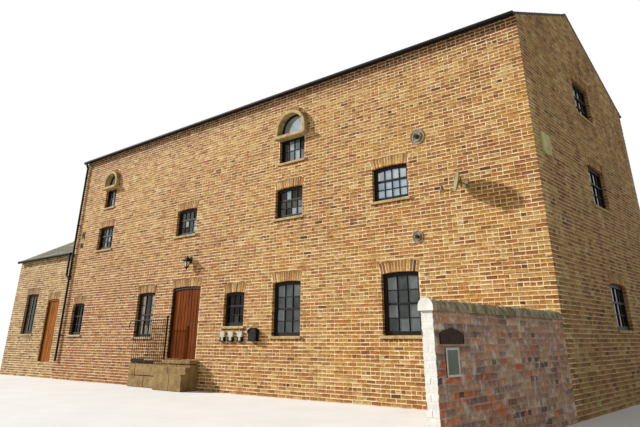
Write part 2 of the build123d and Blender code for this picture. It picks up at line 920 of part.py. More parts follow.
with BuildPart() as downpipes:
    for radius, mode in ((pipe_radius, Mode.ADD), (pipe_radius - pipe_wall, Mode.SUBTRACT)):
        for points in pipe_routes:
            with BuildLine() as route:
                Polyline(*points)
            with BuildSketch(Plane(origin=points[0], x_dir=(1, 0, 0), z_dir=(0, 0, -1))):
                Circle(radius)
            sweep(path=route.wires()[0], transition=Transition.RIGHT, mode=mode)
        if mode is Mode.ADD:
            half = pipe_bracket / 2
            for share in (0.12, 0.4, 0.66, 0.92):
                z = pipe_foot + share * (main_outlet[1] - pipe_foot)
                block(pipe_x - half, pipe_x + half, pipe_y, front_face, z - half, z + half)
save(downpipes.part, "downpipes")

# Coach lantern on a short arm over the door
with BuildPart() as lantern:
    lantern_y = front_face - lantern_reach
    glass_top = lantern_base + lantern_glass_height
    cap_top = glass_top + lantern_cap_height
    for low, height, width_below, width_above in (
        (lantern_base, lantern_glass_height, lantern_bottom, lantern_top),
        (glass_top, lantern_cap_height, lantern_cap_width, lantern_cap_top),
        (cap_top, lantern_finial, 26, 10),
    ):
        for width, rise in ((width_below, 0), (width_above, height)):
            with BuildSketch(Plane(origin=(lantern_x, lantern_y, low + rise))):
                Rectangle(width, width)
        loft(ruled=True)
    arm = 20
    block(lantern_x - arm / 2, lantern_x + arm / 2, lantern_y, front_face, cap_top - arm, cap_top)
    block(lantern_x - 40, lantern_x + 40, front_face - arm, front_face, glass_top - 60, cap_top + 40)
save(lantern.part, "lantern")

# Post box with an arched top
post_box_base = ground_floor_level + post_box_over_floor
post_box_spring = post_box_base + post_box_side_height
post_box_crown = post_box_spring + post_box_crown_rise
with BuildPart() as post_box:
    half = post_box_width / 2
    with BuildSketch(front):
        with BuildLine():
            Polyline(
                (post_box_x + half, post_box_spring),
                (post_box_x + half, post_box_base),
                (post_box_x - half, post_box_base),
                (post_box_x - half, post_box_spring),
            )
            ThreePointArc(
                (post_box_x - half, post_box_spring),
                (post_box_x, post_box_crown),
                (post_box_x + half, post_box_spring),
            )
        make_face()
    extrude(amount=post_box_depth)
save(post_box.part, "post_box")

# Two vent grilles low on the wall and three small boxes under the small window
with BuildPart() as vent_grille:
    with BuildSketch(front):
        for distance, height, width, rise in vents:
            with Locations((steps_left - distance, kerb_top + height)):
                Rectangle(width, rise)
    extrude(amount=vent_thickness)
save(vent_grille.part, "vent_grille")

wall_box_z = ground_floor_level + small_window[1] - wall_box_below_sill
with BuildPart() as wall_boxes:
    with BuildSketch(front):
        for offset, width in wall_boxes_from_window:
            with Locations((small_window_x + offset, wall_box_z)):
                Rectangle(width, wall_box_height)
    extrude(amount=wall_box_depth)
save(wall_boxes.part, "wall_boxes")

# Iron tie plates: two stepped discs at the floors and two crosses over the first floor
tie_discs = (
    (right_face - upper_disc[0], upper_joint, upper_disc[1]),
    (right_face - lower_disc[0], lower_joint, lower_disc[1]),
)
tie_crosses = [
    (left_face + distance, first_floor_level + height) for distance, height in (upper_cross, lower_cross)
]
with BuildPart() as tie_plates:
    for x, z, diameter in tie_discs:
        for share, layers in ((1, 1), (0.62, 2), (0.2, 4)):
            with BuildSketch(front):
                with Locations((x, z)):
                    Circle(share * diameter / 2)
            extrude(amount=layers * tie_thickness)
    for x, z in tie_crosses:
        with BuildSketch(front):
            with Locations((x, z)):
                Rectangle(tie_cross_size, tie_cross_size / 5, rotation=45)
                Rectangle(tie_cross_size, tie_cross_size / 5, rotation=-45)
                Circle(tie_cross_size / 6)
        extrude(amount=tie_thickness)
        with BuildSketch(front):
            with Locations((x, z)):
                Circle(tie_cross_size / 10)
        extrude(amount=3 * tie_thickness)
save(tie_plates.part, "tie_plates")

# Satellite dish: a wall plate, an arm and an upright mast, the dish itself, and a
# thin rod from its lower rim with the receiver at the end
dish_facing = Vector(*dish_direction).normalized()
mast_y = front_face - dish_arm_reach
dish_seat = Vector(dish_x, mast_y, dish_z)
dish_centre = dish_seat + dish_facing * dish_standoff
dish_plane = Plane(origin=dish_centre, x_dir=dish_facing.cross(Vector(0, 0, 1)), z_dir=dish_facing)
dish_up = dish_facing.cross(dish_plane.x_dir)
if dish_up.Z < 0:
    dish_up = -dish_up
with BuildPart() as satellite_dish:
    for lift, mode in ((0, Mode.ADD), (dish_shell, Mode.SUBTRACT)):
        for share in (dish_flat, 0.7, 1):
            with BuildSketch(dish_plane.offset(lift + share**2 * dish_sag)):
                RegularPolygon(share * dish_radius, dish_sides)
        loft(ruled=True, mode=mode)
    with BuildSketch(Plane(origin=dish_seat, x_dir=dish_plane.x_dir, z_dir=dish_facing)):
        Rectangle(2 * dish_arm_radius, 3 * dish_arm_radius)
    extrude(amount=dish_standoff + dish_flat**2 * dish_sag + dish_shell / 2)
    with Locations(dish_seat):
        Cylinder(dish_arm_radius, dish_mast_height)
    side = dish_arm_radius * 0.8
    block(dish_x - side, dish_x + side, mast_y, front_face, dish_z - side, dish_z + side)
    block(dish_x - 50, dish_x + 50, front_face - 10, front_face, dish_z - 80, dish_z + 80)
    rod_start = dish_centre - dish_up * dish_radius * 0.9 + dish_facing * dish_sag * 0.8
    rod_end = dish_centre - dish_up * dish_radius * 0.95 + dish_facing * dish_rod_reach
    rod = rod_end - rod_start
    with BuildSketch(Plane(origin=rod_start, z_dir=rod)):
        Circle(dish_arm_radius * 0.55)
    extrude(amount=rod.length)
    with BuildSketch(Plane(origin=rod_end - rod.normalized() * 10, z_dir=dish_up)):
        Circle(2 * dish_arm_radius)
    extrude(amount=5 * dish_arm_radius)
save(satellite_dish.part, "satellite_dish")

# Yard wall from the front right corner towards the yard
yard_wall_end = front_face - yard_wall_length
with BuildPart() as yard_wall:
    block(
        right_face - yard_wall_thickness,
        right_face,
        yard_wall_end,
        front_face,
        0,
        yard_wall_height,
    )
save(yard_wall.part, "yard_wall")

# Half-round coping stones, one after another with open joints
coping_start = yard_wall_end - coping_overhang
coping_pitch = (front_face - coping_start + coping_joint) / coping_stones
coping_x = right_face - yard_wall_thickness / 2
with BuildPart() as yard_wall_coping:
    for index in range(coping_stones):
        near_end = coping_start + index * coping_pitch
        with BuildSketch(
            Plane(origin=(coping_x, near_end, yard_wall_height), x_dir=(-1, 0, 0), z_dir=(0, 1, 0))
        ):
            with BuildLine():
                half = coping_width / 2
                Polyline((half, coping_edge), (half, 0), (-half, 0), (-half, coping_edge))
                ThreePointArc((-half, coping_edge), (0, coping_height), (half, coping_edge))
            make_face()
        extrude(amount=coping_pitch - coping_joint)
save(yard_wall_coping.part, "yard_wall_coping")

# Two bare plates on the outer face of the yard wall
name_plate_y = yard_wall_end + name_plate_from_end
name_plate_base = yard_wall_height - name_plate_below_top
notice_y = yard_wall_end + notice_from_end
notice_base = yard_wall_height - notice_below_top
with BuildPart() as yard_wall_plates:
    width, height = name_plate_size
    side_top = name_plate_base + height
    with BuildSketch(right_gable):
        with BuildLine():
            Polyline(
                (name_plate_y + width / 2, side_top),
                (name_plate_y + width / 2, name_plate_base),
                (name_plate_y - width / 2, name_plate_base),
                (name_plate_y - width / 2, side_top),
            )
            ThreePointArc(
                (name_plate_y - width / 2, side_top),
                (name_plate_y, side_top + name_plate_rise),
                (name_plate_y + width / 2, side_top),
            )
        make_face()
        panel(notice_y, notice_size[0], notice_base, notice_base + notice_size[1])
    extrude(amount=plate_thickness)
save(yard_wall_plates.part, "yard_wall_plates")

# Annexe walls: below the doorway, beside it and over it, then the end and the rear
with BuildPart() as annexe_plinth:
    block(annexe_left, left_face, annexe_front, annexe_front_inner, 0, annexe_floor_level)
save(annexe_plinth.part, "annexe_plinth")

annexe_door_left = annexe_door_x - annexe_door_width / 2
annexe_door_right = annexe_door_x + annexe_door_width / 2
annexe_bearing = (annexe_door_left - lintel_bearing, annexe_door_right + lintel_bearing)
annexe_heads = (annexe_front, annexe_front_inner, annexe_floor_level)
for name, x0, x1, windows in (
    ("annexe_front_left", annexe_left, annexe_door_left, annexe_windows),
    ("annexe_front_right", annexe_door_right, left_face, []),
):
    with BuildPart() as wall:
        pitched_wall(x0, x1, *annexe_heads, annexe_plate_height, annexe_slope)
        block(
            *annexe_bearing,
            annexe_front,
            annexe_front_inner,
            annexe_door_head,
            annexe_peak,
            Mode.SUBTRACT,
        )
        pierce(annexe_wall, windows)
    save(wall.part, name)

with BuildPart() as annexe_over_door:
    pitched_wall(
        *annexe_bearing,
        annexe_front,
        annexe_front_inner,
        annexe_door_head,
        annexe_plate_height,
        annexe_slope,
    )
    with BuildSketch(annexe_wall):
        segment_outline(annexe_door_x, annexe_door_width, annexe_floor_level, annexe_door_head)
    extrude(amount=-wall_thickness, mode=Mode.SUBTRACT)
    with BuildSketch(annexe_wall):
        brick_arch_outline(annexe_door_x, annexe_door_width, annexe_door_head)
    extrude(amount=-arch_thickness, mode=Mode.SUBTRACT)
save(annexe_over_door.part, "annexe_over_door")

annexe_inner_plate = annexe_plate_height + wall_thickness * tan(annexe_slope)
with BuildPart() as annexe_end_wall:
    gable_wall(annexe_left, annexe_front_inner, annexe_rear_inner, annexe_inner_plate, annexe_slope)
save(annexe_end_wall.part, "annexe_end_wall")

with BuildPart() as annexe_rear_wall:
    pitched_wall(
        annexe_left, left_face, annexe_rear, annexe_rear_inner, 0, annexe_plate_height, annexe_slope
    )
    pierce(annexe_back, annexe_rear_windows)
save(annexe_rear_wall.part, "annexe_rear_wall")

with BuildPart() as annexe_floor:
    block(
        annexe_end_inner,
        left_face,
        annexe_front_inner,
        annexe_rear_inner,
        annexe_floor_level - ground_slab_thickness,
        annexe_floor_level,
    )
save(annexe_floor.part, "annexe_floor")
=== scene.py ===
import json
from math import asin, cos, pi, radians, sin, sqrt, tan

import bmesh
import bpy
import numpy as np
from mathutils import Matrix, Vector


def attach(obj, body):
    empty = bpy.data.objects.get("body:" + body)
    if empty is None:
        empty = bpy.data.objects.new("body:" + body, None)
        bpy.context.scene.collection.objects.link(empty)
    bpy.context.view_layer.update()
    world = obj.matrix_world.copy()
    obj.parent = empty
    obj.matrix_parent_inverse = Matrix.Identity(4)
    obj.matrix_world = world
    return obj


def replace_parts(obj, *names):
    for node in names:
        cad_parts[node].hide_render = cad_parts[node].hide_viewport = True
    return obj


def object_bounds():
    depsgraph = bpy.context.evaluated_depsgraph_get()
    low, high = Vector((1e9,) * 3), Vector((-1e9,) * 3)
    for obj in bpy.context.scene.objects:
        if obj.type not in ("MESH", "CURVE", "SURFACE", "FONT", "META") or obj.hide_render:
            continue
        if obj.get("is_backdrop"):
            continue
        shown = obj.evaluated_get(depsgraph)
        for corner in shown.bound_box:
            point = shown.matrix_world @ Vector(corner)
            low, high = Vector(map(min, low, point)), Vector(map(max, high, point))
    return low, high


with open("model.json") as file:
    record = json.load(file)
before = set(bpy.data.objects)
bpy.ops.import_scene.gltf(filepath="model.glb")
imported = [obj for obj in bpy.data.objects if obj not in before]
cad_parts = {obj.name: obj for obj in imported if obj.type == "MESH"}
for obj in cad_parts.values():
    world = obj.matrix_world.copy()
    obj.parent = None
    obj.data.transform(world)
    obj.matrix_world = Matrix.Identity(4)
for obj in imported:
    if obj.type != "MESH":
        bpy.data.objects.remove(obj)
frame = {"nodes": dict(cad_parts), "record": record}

# A brick coach house with a lower annexe. The solid walls, floors, roofs and fittings come
# from the frame and carry the mortar, the boards and the paint. Everything here is in
# metres: bricks, slates, window bars, door boards and worn stone are laid over them.
cad_low, cad_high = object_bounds()
rng = np.random.default_rng(11)

# Walls
FRONT = -0.17
REAR = 7.73
RIGHT = 8.9
LEFT = -8.9
PLATE = 7.71
PITCH = radians(24)
MIDDLE = (FRONT + REAR) / 2
ANNEXE_FRONT = -0.11
ANNEXE_REAR = 4.29
ANNEXE_LEFT = -13.28
ANNEXE_PLATE = 4.23
ANNEXE_PITCH = radians(26.5)
YARD_END = -4.56
YARD_TOP = 1.56
YARD_THICK = 0.16
YARD_MIDDLE = RIGHT - YARD_THICK / 2

# Windows by wall, as place along the wall, width, sill, head and the look of their glass: painted
# reflections, painted shade of the rooms behind, and curtains
GROUND_ROW = (0.96, 1.32, 2.56)
FIRST_ROW = (0.98, 4.17, 4.95)
ROW_PLACES = (-6.76, -2.09, 2.25, 5.45)
FRONT_WINDOWS = [
    (-7.85, 0.80, 1.40, 2.39, "dark"),
    (-3.765, 0.93, 1.32, 2.56, "curtain"),
    (0.33, 0.80, 1.57, 2.39, "dark"),
    (2.25, *GROUND_ROW, "dim"),
    (5.59, *GROUND_ROW, "dim"),
]
FRONT_WINDOWS += [(x, *FIRST_ROW, "mixed") for x in ROW_PLACES[:3]]
FRONT_WINDOWS += [(ROW_PLACES[3], *FIRST_ROW, "sky")]
REAR_WINDOWS = [(-x, *row, "dim") for row in (GROUND_ROW, FIRST_ROW) for x in ROW_PLACES]
REAR_WINDOWS += [(x, 0.98, 5.97, 6.77, "dim") for x in (6.76, -2.25)]
TOP_GABLE_WINDOW = (1.27, 6.42, 7.38, "dark")
RIGHT_WINDOWS = [(MIDDLE, 1.27, 1.43, 2.38, "dark"), (MIDDLE, 1.27, 4.12, 5.10, "dark")]
RIGHT_WINDOWS += [(MIDDLE, *TOP_GABLE_WINDOW)]
LEFT_WINDOWS = [(-MIDDLE, *TOP_GABLE_WINDOW)]
ANNEXE_WINDOW = (-11.685, 0.99, 1.45, 2.87, "curtain")
ANNEXE_REAR_WINDOW = (-ANNEXE_WINDOW[0], *ANNEXE_WINDOW[1:])
ARCHED = [(-6.8, 0.68), (2.32, 0.93)]
ARCHED_SILL = 5.67
ARCHED_HEAD = 6.33
SHELF_TOP = 6.41
SPRING = 6.57
DOORS = [(-1.775, 1.31, 0.75, 2.64), (-9.905, 0.89, 0.52, 2.62)]
REVEAL = 0.085
DOOR_REVEAL = 0.035
FRAME = 0.085
ARCHED_FRAME = 0.05
MEETING_HALF = 0.0225
BAR_HALF = 0.009
SHELF_EAR = 0.15
SILL_EAR = 0.06
SILL_HEIGHT = 0.067
ARCH_BAND = 0.225
ARCH_RISE = 0.03
SPLAY = 0.06
HOOD_BAND = 0.085
RING_BAND = 0.115

# Bricks: how they are laid, and how far they pass a corner
COURSE = 0.079
YARD_COURSE = 0.084
STRETCHER = 0.244
JOINT = 0.017
PAST_CORNER = 0.004
WORN_EDGE = 0.003

# Depths behind the face of a wall: the back and front of the panes, then bars and beads
PANE = (-0.121, -0.1155)
BAR_BACK = -0.1145
BEAD_BACK = -0.086
SQUARE = ((-1, -1), (1, -1), (1, 1), (-1, 1))


# Materials
def linear(red, green, blue):
    """A colour given in 0 to 255 steps, as the shader wants it."""
    return tuple((step / 255) ** 2.2 for step in (red, green, blue))


def put(tree, socket, value):
    """Sets a socket to a value, or links it to the socket that is given."""
    if isinstance(value, bpy.types.NodeSocket):
        tree.links.new(value, socket)
    else:
        socket.default_value = value


def add_node(tree, kind, **inputs):
    made = tree.nodes.new(kind)
    for name, value in inputs.items():
        put(tree, made.inputs[name.replace("_", " ")], value)
    return made


def noise(tree, coords, scale, detail=6.0, roughness=0.6):
    settings = {"Vector": coords, "Scale": scale, "Detail": detail, "Roughness": roughness}
    return add_node(tree, "ShaderNodeTexNoise", **settings).outputs["Fac"]


def spread(tree, value, low, high, out_low=0, out_high=1):
    settings = {"Value": value, "From_Min": low, "From_Max": high, "To_Min": out_low, "To_Max": out_high}
    return add_node(tree, "ShaderNodeMapRange", **settings).outputs["Result"]


def mix(tree, factor, first, second, blend="MIX"):
    made = tree.nodes.new("ShaderNodeMix")
    made.data_type = "RGBA"
    made.blend_type = blend
    sockets = {socket.identifier: socket for socket in made.inputs}
    for key, value in (("Factor_Float", factor), ("A_Color", first), ("B_Color", second)):
        put(tree, sockets[key], (*value, 1) if isinstance(value, tuple) else value)
    return {socket.identifier: socket for socket in made.outputs}["Result_Color"]


def surface(
    name, dark, light, scale=8.0, stretch=(1, 1, 1), rough=(0.7, 0.95), metal=0.0, bump=0.4,
    depth=0.003, fine=60.0, tint=False, patch=None, shine=0.3
):
    """A weathered surface: two colours mixed by noise, an optional patchy third, and grain.

    Colours are in 0 to 255 steps. A patch is a colour with its scale and its share.
    """
    material = bpy.data.materials.new(name)
    material.use_nodes = True
    tree = material.node_tree
    place = add_node(tree, "ShaderNodeTexCoord").outputs["Object"]
    coords = add_node(tree, "ShaderNodeMapping", Vector=place, Scale=stretch).outputs["Vector"]
    broad = spread(tree, noise(tree, coords, scale), 0.3, 0.7)
    grain = noise(tree, coords, fine, 4.0, 0.7)
    colour = mix(tree, broad, linear(*dark), linear(*light))
    if tint:
        attribute = tree.nodes.new("ShaderNodeAttribute")
        attribute.attribute_name = "tint"
        colour = mix(tree, 1.0, attribute.outputs["Color"], colour, "MULTIPLY")
    if patch:
        patch_colour, patch_scale, patch_share = patch
        blot = noise(tree, place, patch_scale, 8.0, 0.65)
        edge = 0.72 - 0.4 * patch_share
        blot = spread(tree, blot, edge, edge + 0.14, 0, 0.85)
        colour = mix(tree, blot, colour, linear(*patch_colour))
    relief = add_node(tree, "ShaderNodeBump", Strength=bump, Distance=depth, Height=grain)
    for key, value in (
        ("Base Color", colour),
        ("Roughness", spread(tree, grain, 0.3, 0.7, *rough)),
        ("Metallic", metal),
        ("Specular IOR Level", shine),
        ("Normal", relief.outputs["Normal"]),
    ):
        put(tree, tree.nodes["Principled BSDF"].inputs[key], value)
    return material


MORTAR = surface(
    "mortar", (230, 198, 144), (254, 238, 196), 5.0, patch=((172, 136, 88), 2.0, 0.36), shine=0.1
)
BRICK = surface(
    "brick", (160, 156, 150), (255, 252, 246), 22.0, tint=True, fine=140.0, bump=0.7, depth=0.005,
    shine=0.1, patch=((232, 194, 134), 2.6, 0.24),
)
# A darker copy of the mortar for the shaded right gable: painted shade.
GABLE_MORTAR = surface(
    "gable_mortar", (196, 170, 126), (232, 208, 164), 5.0, patch=((164, 142, 96), 1.3, 0.45),
    shine=0.1,
)
# A darker copy of the mortar for the walls that face the sun: painted shade.
PAINTED_SHADE_MORTAR = surface(
    "sooty_mortar", (150, 128, 92), (196, 172, 130), 5.0, patch=((122, 102, 70), 1.3, 0.45),
    shine=0.1,
)
OLD_MORTAR = surface(
    "old_mortar", (158, 138, 116), (206, 188, 162), 5.0, patch=((236, 230, 220), 6.5, 0.46),
    shine=0.1,
)
OLD_BRICK = surface(
    "old_brick", (184, 182, 180), (255, 254, 252), 14.0, tint=True, fine=90.0, bump=1.0,
    depth=0.008, shine=0.1, patch=((232, 222, 208), 6.5, 0.46),
)
SLATE = surface("slate", (190, 190, 190), (255, 255, 255), 12.0, tint=True, rough=(0.5, 0.8))
ROOF_UNDER = surface("roof_under", (60, 56, 54), (84, 78, 74), 6.0)
SANDSTONE = surface(
    "sandstone", (160, 134, 88), (210, 182, 128), 9.0, fine=120.0,
    patch=((104, 88, 52), 3.0, 0.45), shine=0.15,
)
GREY_STONE = surface(
    "grey_stone", (118, 92, 58), (172, 142, 92), 5.0, fine=90.0, bump=0.8, depth=0.006,
    patch=((186, 158, 62), 2.4, 0.28), shine=0.15,
)
COPING = surface(
    "coping", (74, 66, 50), (212, 194, 158), 7.0, (1, 2.2, 1), fine=70.0, bump=0.8,
    depth=0.008, patch=((128, 118, 56), 2.2, 0.42), shine=0.15,
)
LIMEWASH = surface("limewash", (222, 216, 200), (246, 242, 232), 9.0, fine=60.0, bump=0.7)
RIDGE_CLAY = surface("ridge_clay", (88, 70, 62), (118, 96, 84), 10.0)
TIMBER = surface("timber", (110, 84, 54), (150, 118, 80), 4.0, (0.3, 6, 6))
BOARDS = surface("floor_board", (120, 92, 62), (166, 132, 92), 3.0, (0.4, 7, 2))
PAVING = surface("slab", (150, 146, 136), (184, 180, 168), 3.0)
BLACK_PAINT = surface(
    "black_paint", (17, 12, 9), (36, 27, 20), 9.0, rough=(0.35, 0.6), bump=0.15, depth=0.001,
    shine=0.2,
)
BLACK_IRON = surface(
    "black_iron", (14, 14, 12), (38, 33, 27), 14.0, rough=(0.5, 0.75), bump=0.3, depth=0.001,
    shine=0.12,
)
PIPE_IRON = surface(
    "pipe_iron", (20, 21, 19), (42, 42, 37), 6.0, rough=(0.5, 0.75), shine=0.25, bump=0.3,
    depth=0.001, patch=((66, 92, 62), 1.6, 0.3),
)
GREY_METAL = surface(
    "grey_metal", (112, 96, 76), (156, 138, 112), 14.0, rough=(0.5, 0.75), metal=0.2,
    patch=((96, 66, 46), 9.0, 0.4),
)
DISH_METAL = surface(
    "dish_metal", (96, 88, 60), (158, 146, 102), 10.0, rough=(0.5, 0.7),
    patch=((76, 60, 38), 9.0, 0.45),
)
PALE_METAL = surface("pale_metal", (168, 164, 138), (206, 206, 182), 16.0, rough=(0.5, 0.7))
PLATE_METAL = surface("plate", (34, 24, 20), (66, 46, 36), 14.0, rough=(0.5, 0.7), shine=0.15)
NOTICE = surface("notice", (92, 98, 78), (116, 122, 98), 6.0, rough=(0.3, 0.5))
WHITE_PAINT = surface("white_paint", (206, 204, 194), (232, 230, 222), 12.0)
LAMP_GLASS = surface("lamp_glass", (190, 184, 160), (226, 222, 204), 20.0, rough=(0.2, 0.3))
FADED_CASE = surface(
    "faded_case", (178, 170, 104), (208, 200, 138), 3.0, (1, 1, 0.4), rough=(0.5, 0.7),
    patch=((140, 126, 62), 4.0, 0.45),
)
WOOD = surface(
    "door_boards", (140, 130, 118), (255, 250, 240), 3.0, (11, 11, 0.7), rough=(0.7, 0.9),
    bump=0.3, depth=0.002, fine=40.0, tint=True, shine=0.05,
)
# Glass: each pane's painted tint under a soft noise of painted reflections.
GLASS = surface(
    "window_glass", (190, 190, 188), (255, 255, 255), 4.0, rough=(0.03, 0.08), bump=0.05,
    depth=0.001, fine=3.0, tint=True, metal=0.55,
)

BY_SLOT = {
    "brick": MORTAR, "roof_slate": ROOF_UNDER, "mossy_slate": ROOF_UNDER, "ridge_clay": RIDGE_CLAY,
    "sandstone": SANDSTONE, "grey_stone": GREY_STONE, "timber": TIMBER, "floor_board": BOARDS,
    "slab": PAVING, "black_joinery": BLACK_PAINT, "window_glass": GLASS, "door_boards": WOOD,
    "annexe_boards": WOOD, "black_iron": BLACK_IRON, "black_metal": BLACK_IRON,
    "grey_metal": GREY_METAL, "pale_metal": PALE_METAL, "plate": PLATE_METAL,
}
BY_NODE = {
    "annexe_end_wall": PAINTED_SHADE_MORTAR, "downpipes": PIPE_IRON, "left_gable_wall": PAINTED_SHADE_MORTAR,
    "right_gable_wall": GABLE_MORTAR, "satellite_dish": DISH_METAL, "yard_wall": OLD_MORTAR,
}
for entry in frame["record"]["subparts"]:
    node = frame["nodes"][entry["node"]]
    for slot in node.material_slots:
        slot.material = BY_NODE.get(entry["node"], BY_SLOT[entry["material_slot"]])


# Mesh building
def add_object(name, data):
    item = bpy.data.objects.new(name, data)
    bpy.context.scene.collection.objects.link(item)
    return item


def piece(name, points, faces, tints, material, slot, body="house"):
    """A mesh that rides on a body, with a colour for each point."""
    mesh = bpy.data.meshes.new(name)
    mesh.from_pydata(np.asarray(points).tolist(), [], faces)
    colours = np.ones((len(points), 4))
    colours[:, :3] = tints
    layer = mesh.color_attributes.new("tint", "FLOAT_COLOR", "POINT")
    layer.data.foreach_set("color", colours.ravel())
    mesh.materials.append(material)
    item = add_object(name, mesh)
    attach(item, body)
    return item


class Wall:
    """The outer face of a wall: u runs to the right of someone who faces it, z runs up."""

    def __init__(self, origin, along):
        self.origin = np.array(origin, float)
        self.along = np.array(along, float)
        self.out = np.cross(self.along, (0, 0, 1))

    def place(self, u, z, proud):
        points = self.origin + np.asarray(u)[..., None] * self.along
        points = points + np.asarray(proud)[..., None] * self.out
        points[..., 2] += z
        return points

    def place_all(self, points):
        return self.place(*points.T)


def upright(u0, u1, z0, z1):
    return [(u0, z0), (u1, z0), (u1, z1), (u0, z1)]


def centred(u, half, z0, z1):
    return upright(u - half, u + half, z0, z1)


def on_circle(u, z, radius, turn):
    return (u + radius * cos(turn), z + radius * sin(turn))


def ring_cell(u, z, inner, outer, start, end):
    """One block of a ring, between two turns."""
    corners = ((inner, end), (inner, start), (outer, start), (outer, end))
    return [on_circle(u, z, radius, turn) for radius, turn in corners]


def hexagon(u, z, radius):
    return [on_circle(u, z, radius, pi * k / 3) for k in range(6)]


def roughness(points):
    """A smooth field between 0 and 1 through space, for the wear of stone."""
    value = 0
    for index in range(5):
        turn = np.array([sin(3 + index * 5.1), sin(1 + index * 3.7), sin(2 + index * 7.3)])
        value = value + np.sin(points @ (turn * (9 + 14 * index)) + index * 2.3)
    return 0.5 + value / 10


class Build:
    """Points, faces and colours of one piece, gathered shape by shape."""

    def __init__(self):
        self.points = []
        self.faces = []
        self.tints = []

    def add(self, points, faces, tint=(1, 1, 1)):
        base = len(self.points)
        self.points += np.asarray(points, float).tolist()
        self.faces += [[base + corner for corner in face] for face in faces]
        self.tints += [tint] * (len(self.points) - base)

    def loft(self, rings, tint=(1, 1, 1)):
        """A skin through rings of as many points each, closed at both ends."""
        count = len(rings[0])
        last = (len(rings) - 1) * count
        faces = [list(range(count))[::-1], list(range(last, last + count))]
        for base in range(0, last, count):
            for k in range(count):
                after = base + (k + 1) % count
                faces.append([base + k, after, after + count, base + k + count])
        self.add(np.concatenate(rings), faces, tint)

    def prism(self, wall, outline, back, front, tint=(1, 1, 1), bevel=0.0):
        """An outline of (u, z) points on a wall, from one depth to another."""
        outline = np.asarray(outline, float)
        inner = outline + bevel * np.sign(outline.mean(axis=0) - outline)
        depths = [(outline, back), (outline, front - bevel), (inner, front)]
        if not bevel:
            depths = depths[::2]
        self.loft([wall.place(*ring.T, depth) for ring, depth in depths], tint)

    def tube(self, stations, radii, sides=12):
        """Rings round a line of points."""
        stations = [Vector(station) for station in stations]
        along = (stations[-1] - stations[0]).normalized()
        across = along.orthogonal().normalized()
        other = along.cross(across)
        turns = [2 * pi * k / sides for k in range(sides)]
        spokes = [across * cos(turn) + other * sin(turn) for turn in turns]
        pairs = zip(stations, radii)
        self.loft([[station + radius * spoke for spoke in spokes] for station, radius in pairs])

    def rounded(self, place, low, high, radius, step, wear):
        """A block of worn stone: rounded edges and an uneven surface."""
        low = np.array(low, float)
        high = np.array(high, float)
        ticks = []
        for a, b in zip(low, high):
            count = max(1, round((b - a - 2 * radius) / step))
            inner = np.linspace(a + radius, b - radius, count + 1)
            ticks.append(np.concatenate(([a, a + 0.3 * radius], inner, [b - 0.3 * radius, b])))
        for axis in range(3):
            one = (axis + 1) % 3
            two = (axis + 2) % 3
            grid_one, grid_two = np.meshgrid(ticks[one], ticks[two], indexing="ij")
            rows, columns = grid_one.shape
            for end, corner in ((0, low), (1, high)):
                points = np.empty((rows * columns, 3))
                points[:, axis] = corner[axis]
                points[:, one] = grid_one.ravel()
                points[:, two] = grid_two.ravel()
                core = np.clip(points, low + radius, high - radius)
                away = points - core
                away = away / np.linalg.norm(away, axis=1, keepdims=True)
                points = core + away * radius
                points = points - away * (wear * roughness(points))[:, None]
                faces = []
                for i in range(rows - 1):
                    for j in range(columns - 1):
                        at = i * columns + j
                        face = [at, at + columns, at + columns + 1, at + 1]
                        faces.append(face if end else face[::-1])
                self.add(place(points), faces)

    def make(self, name, material, slot, body="house", weld=False):
        item = piece(name, self.points, self.faces, self.tints, material, slot, body)
        if weld:
            shape = bmesh.new()
            shape.from_mesh(item.data)
            bmesh.ops.remove_doubles(shape, verts=shape.verts, dist=0.0001)
            bmesh.ops.recalc_face_normals(shape, faces=shape.faces)
            shape.to_mesh(item.data)
            shape.free()
        return item


def lay(name, wall, quads, tints, material=BRICK, rough=0.003, sooty=0.62, soot=1.0):
    """Worn bricks on a wall, one for each outline of four points, lighter at the foot and darker along
    the top: painted light and painted shade.
    """
    quads = np.asarray(quads, float)
    count = len(quads)
    # Painted shade along the top of each brick and painted light along its foot.
    painted_shading = soot * np.array([1.12, 1.12, sooty, sooty] * 3)
    # One level scales all of a wall's bricks: below 1 on walls that face the sun, as painted shade, and
    # above 1 on the shaded yard side, as painted light.
    tints = np.asarray(tints, float)[:, None] * painted_shading[None, :, None]
    quads = quads + np.clip(rng.normal(0, rough, quads.shape), -0.008, 0.008)
    quads[..., 1] = np.maximum(quads[..., 1], 0.001)
    inner = quads + WORN_EDGE * np.sign(quads.mean(axis=1, keepdims=True) - quads)
    height = 0.0045 + rng.uniform(-0.0012, 0.002, (count, 1)) + rng.uniform(-0.001, 0.001, (count, 4))
    depths = ((quads, -0.002), (quads, height - WORN_EDGE), (inner, height))
    rings = [wall.place(ring[..., 0], ring[..., 1], depth) for ring, depth in depths]
    points = np.concatenate(rings, axis=1).reshape(-1, 3)
    pattern = [(8, 9, 10, 11)]
    for ring in (0, 4):
        for side in range(4):
            after = (side + 1) % 4
            pattern.append((ring + side, ring + after, ring + 4 + after, ring + 4 + side))
    faces = (np.arange(count)[:, None, None] * 12 + np.array(pattern)[None]).reshape(-1, 4)
    piece(name, points, faces.tolist(), tints.reshape(-1, 3), material, "brick")


def hill(x, z, seed, size):
    """A smooth field between about 0 and 1, for weathered areas some metres wide."""
    value = 0
    for index in range(4):
        angle = seed * 1.7 + index * 2.1
        run = x * cos(angle) + z * sin(angle)
        value = value + sin(run * 2 * pi / size * (1 + 0.37 * index) + seed * 3.1 + index)
    return 0.5 + value / 8


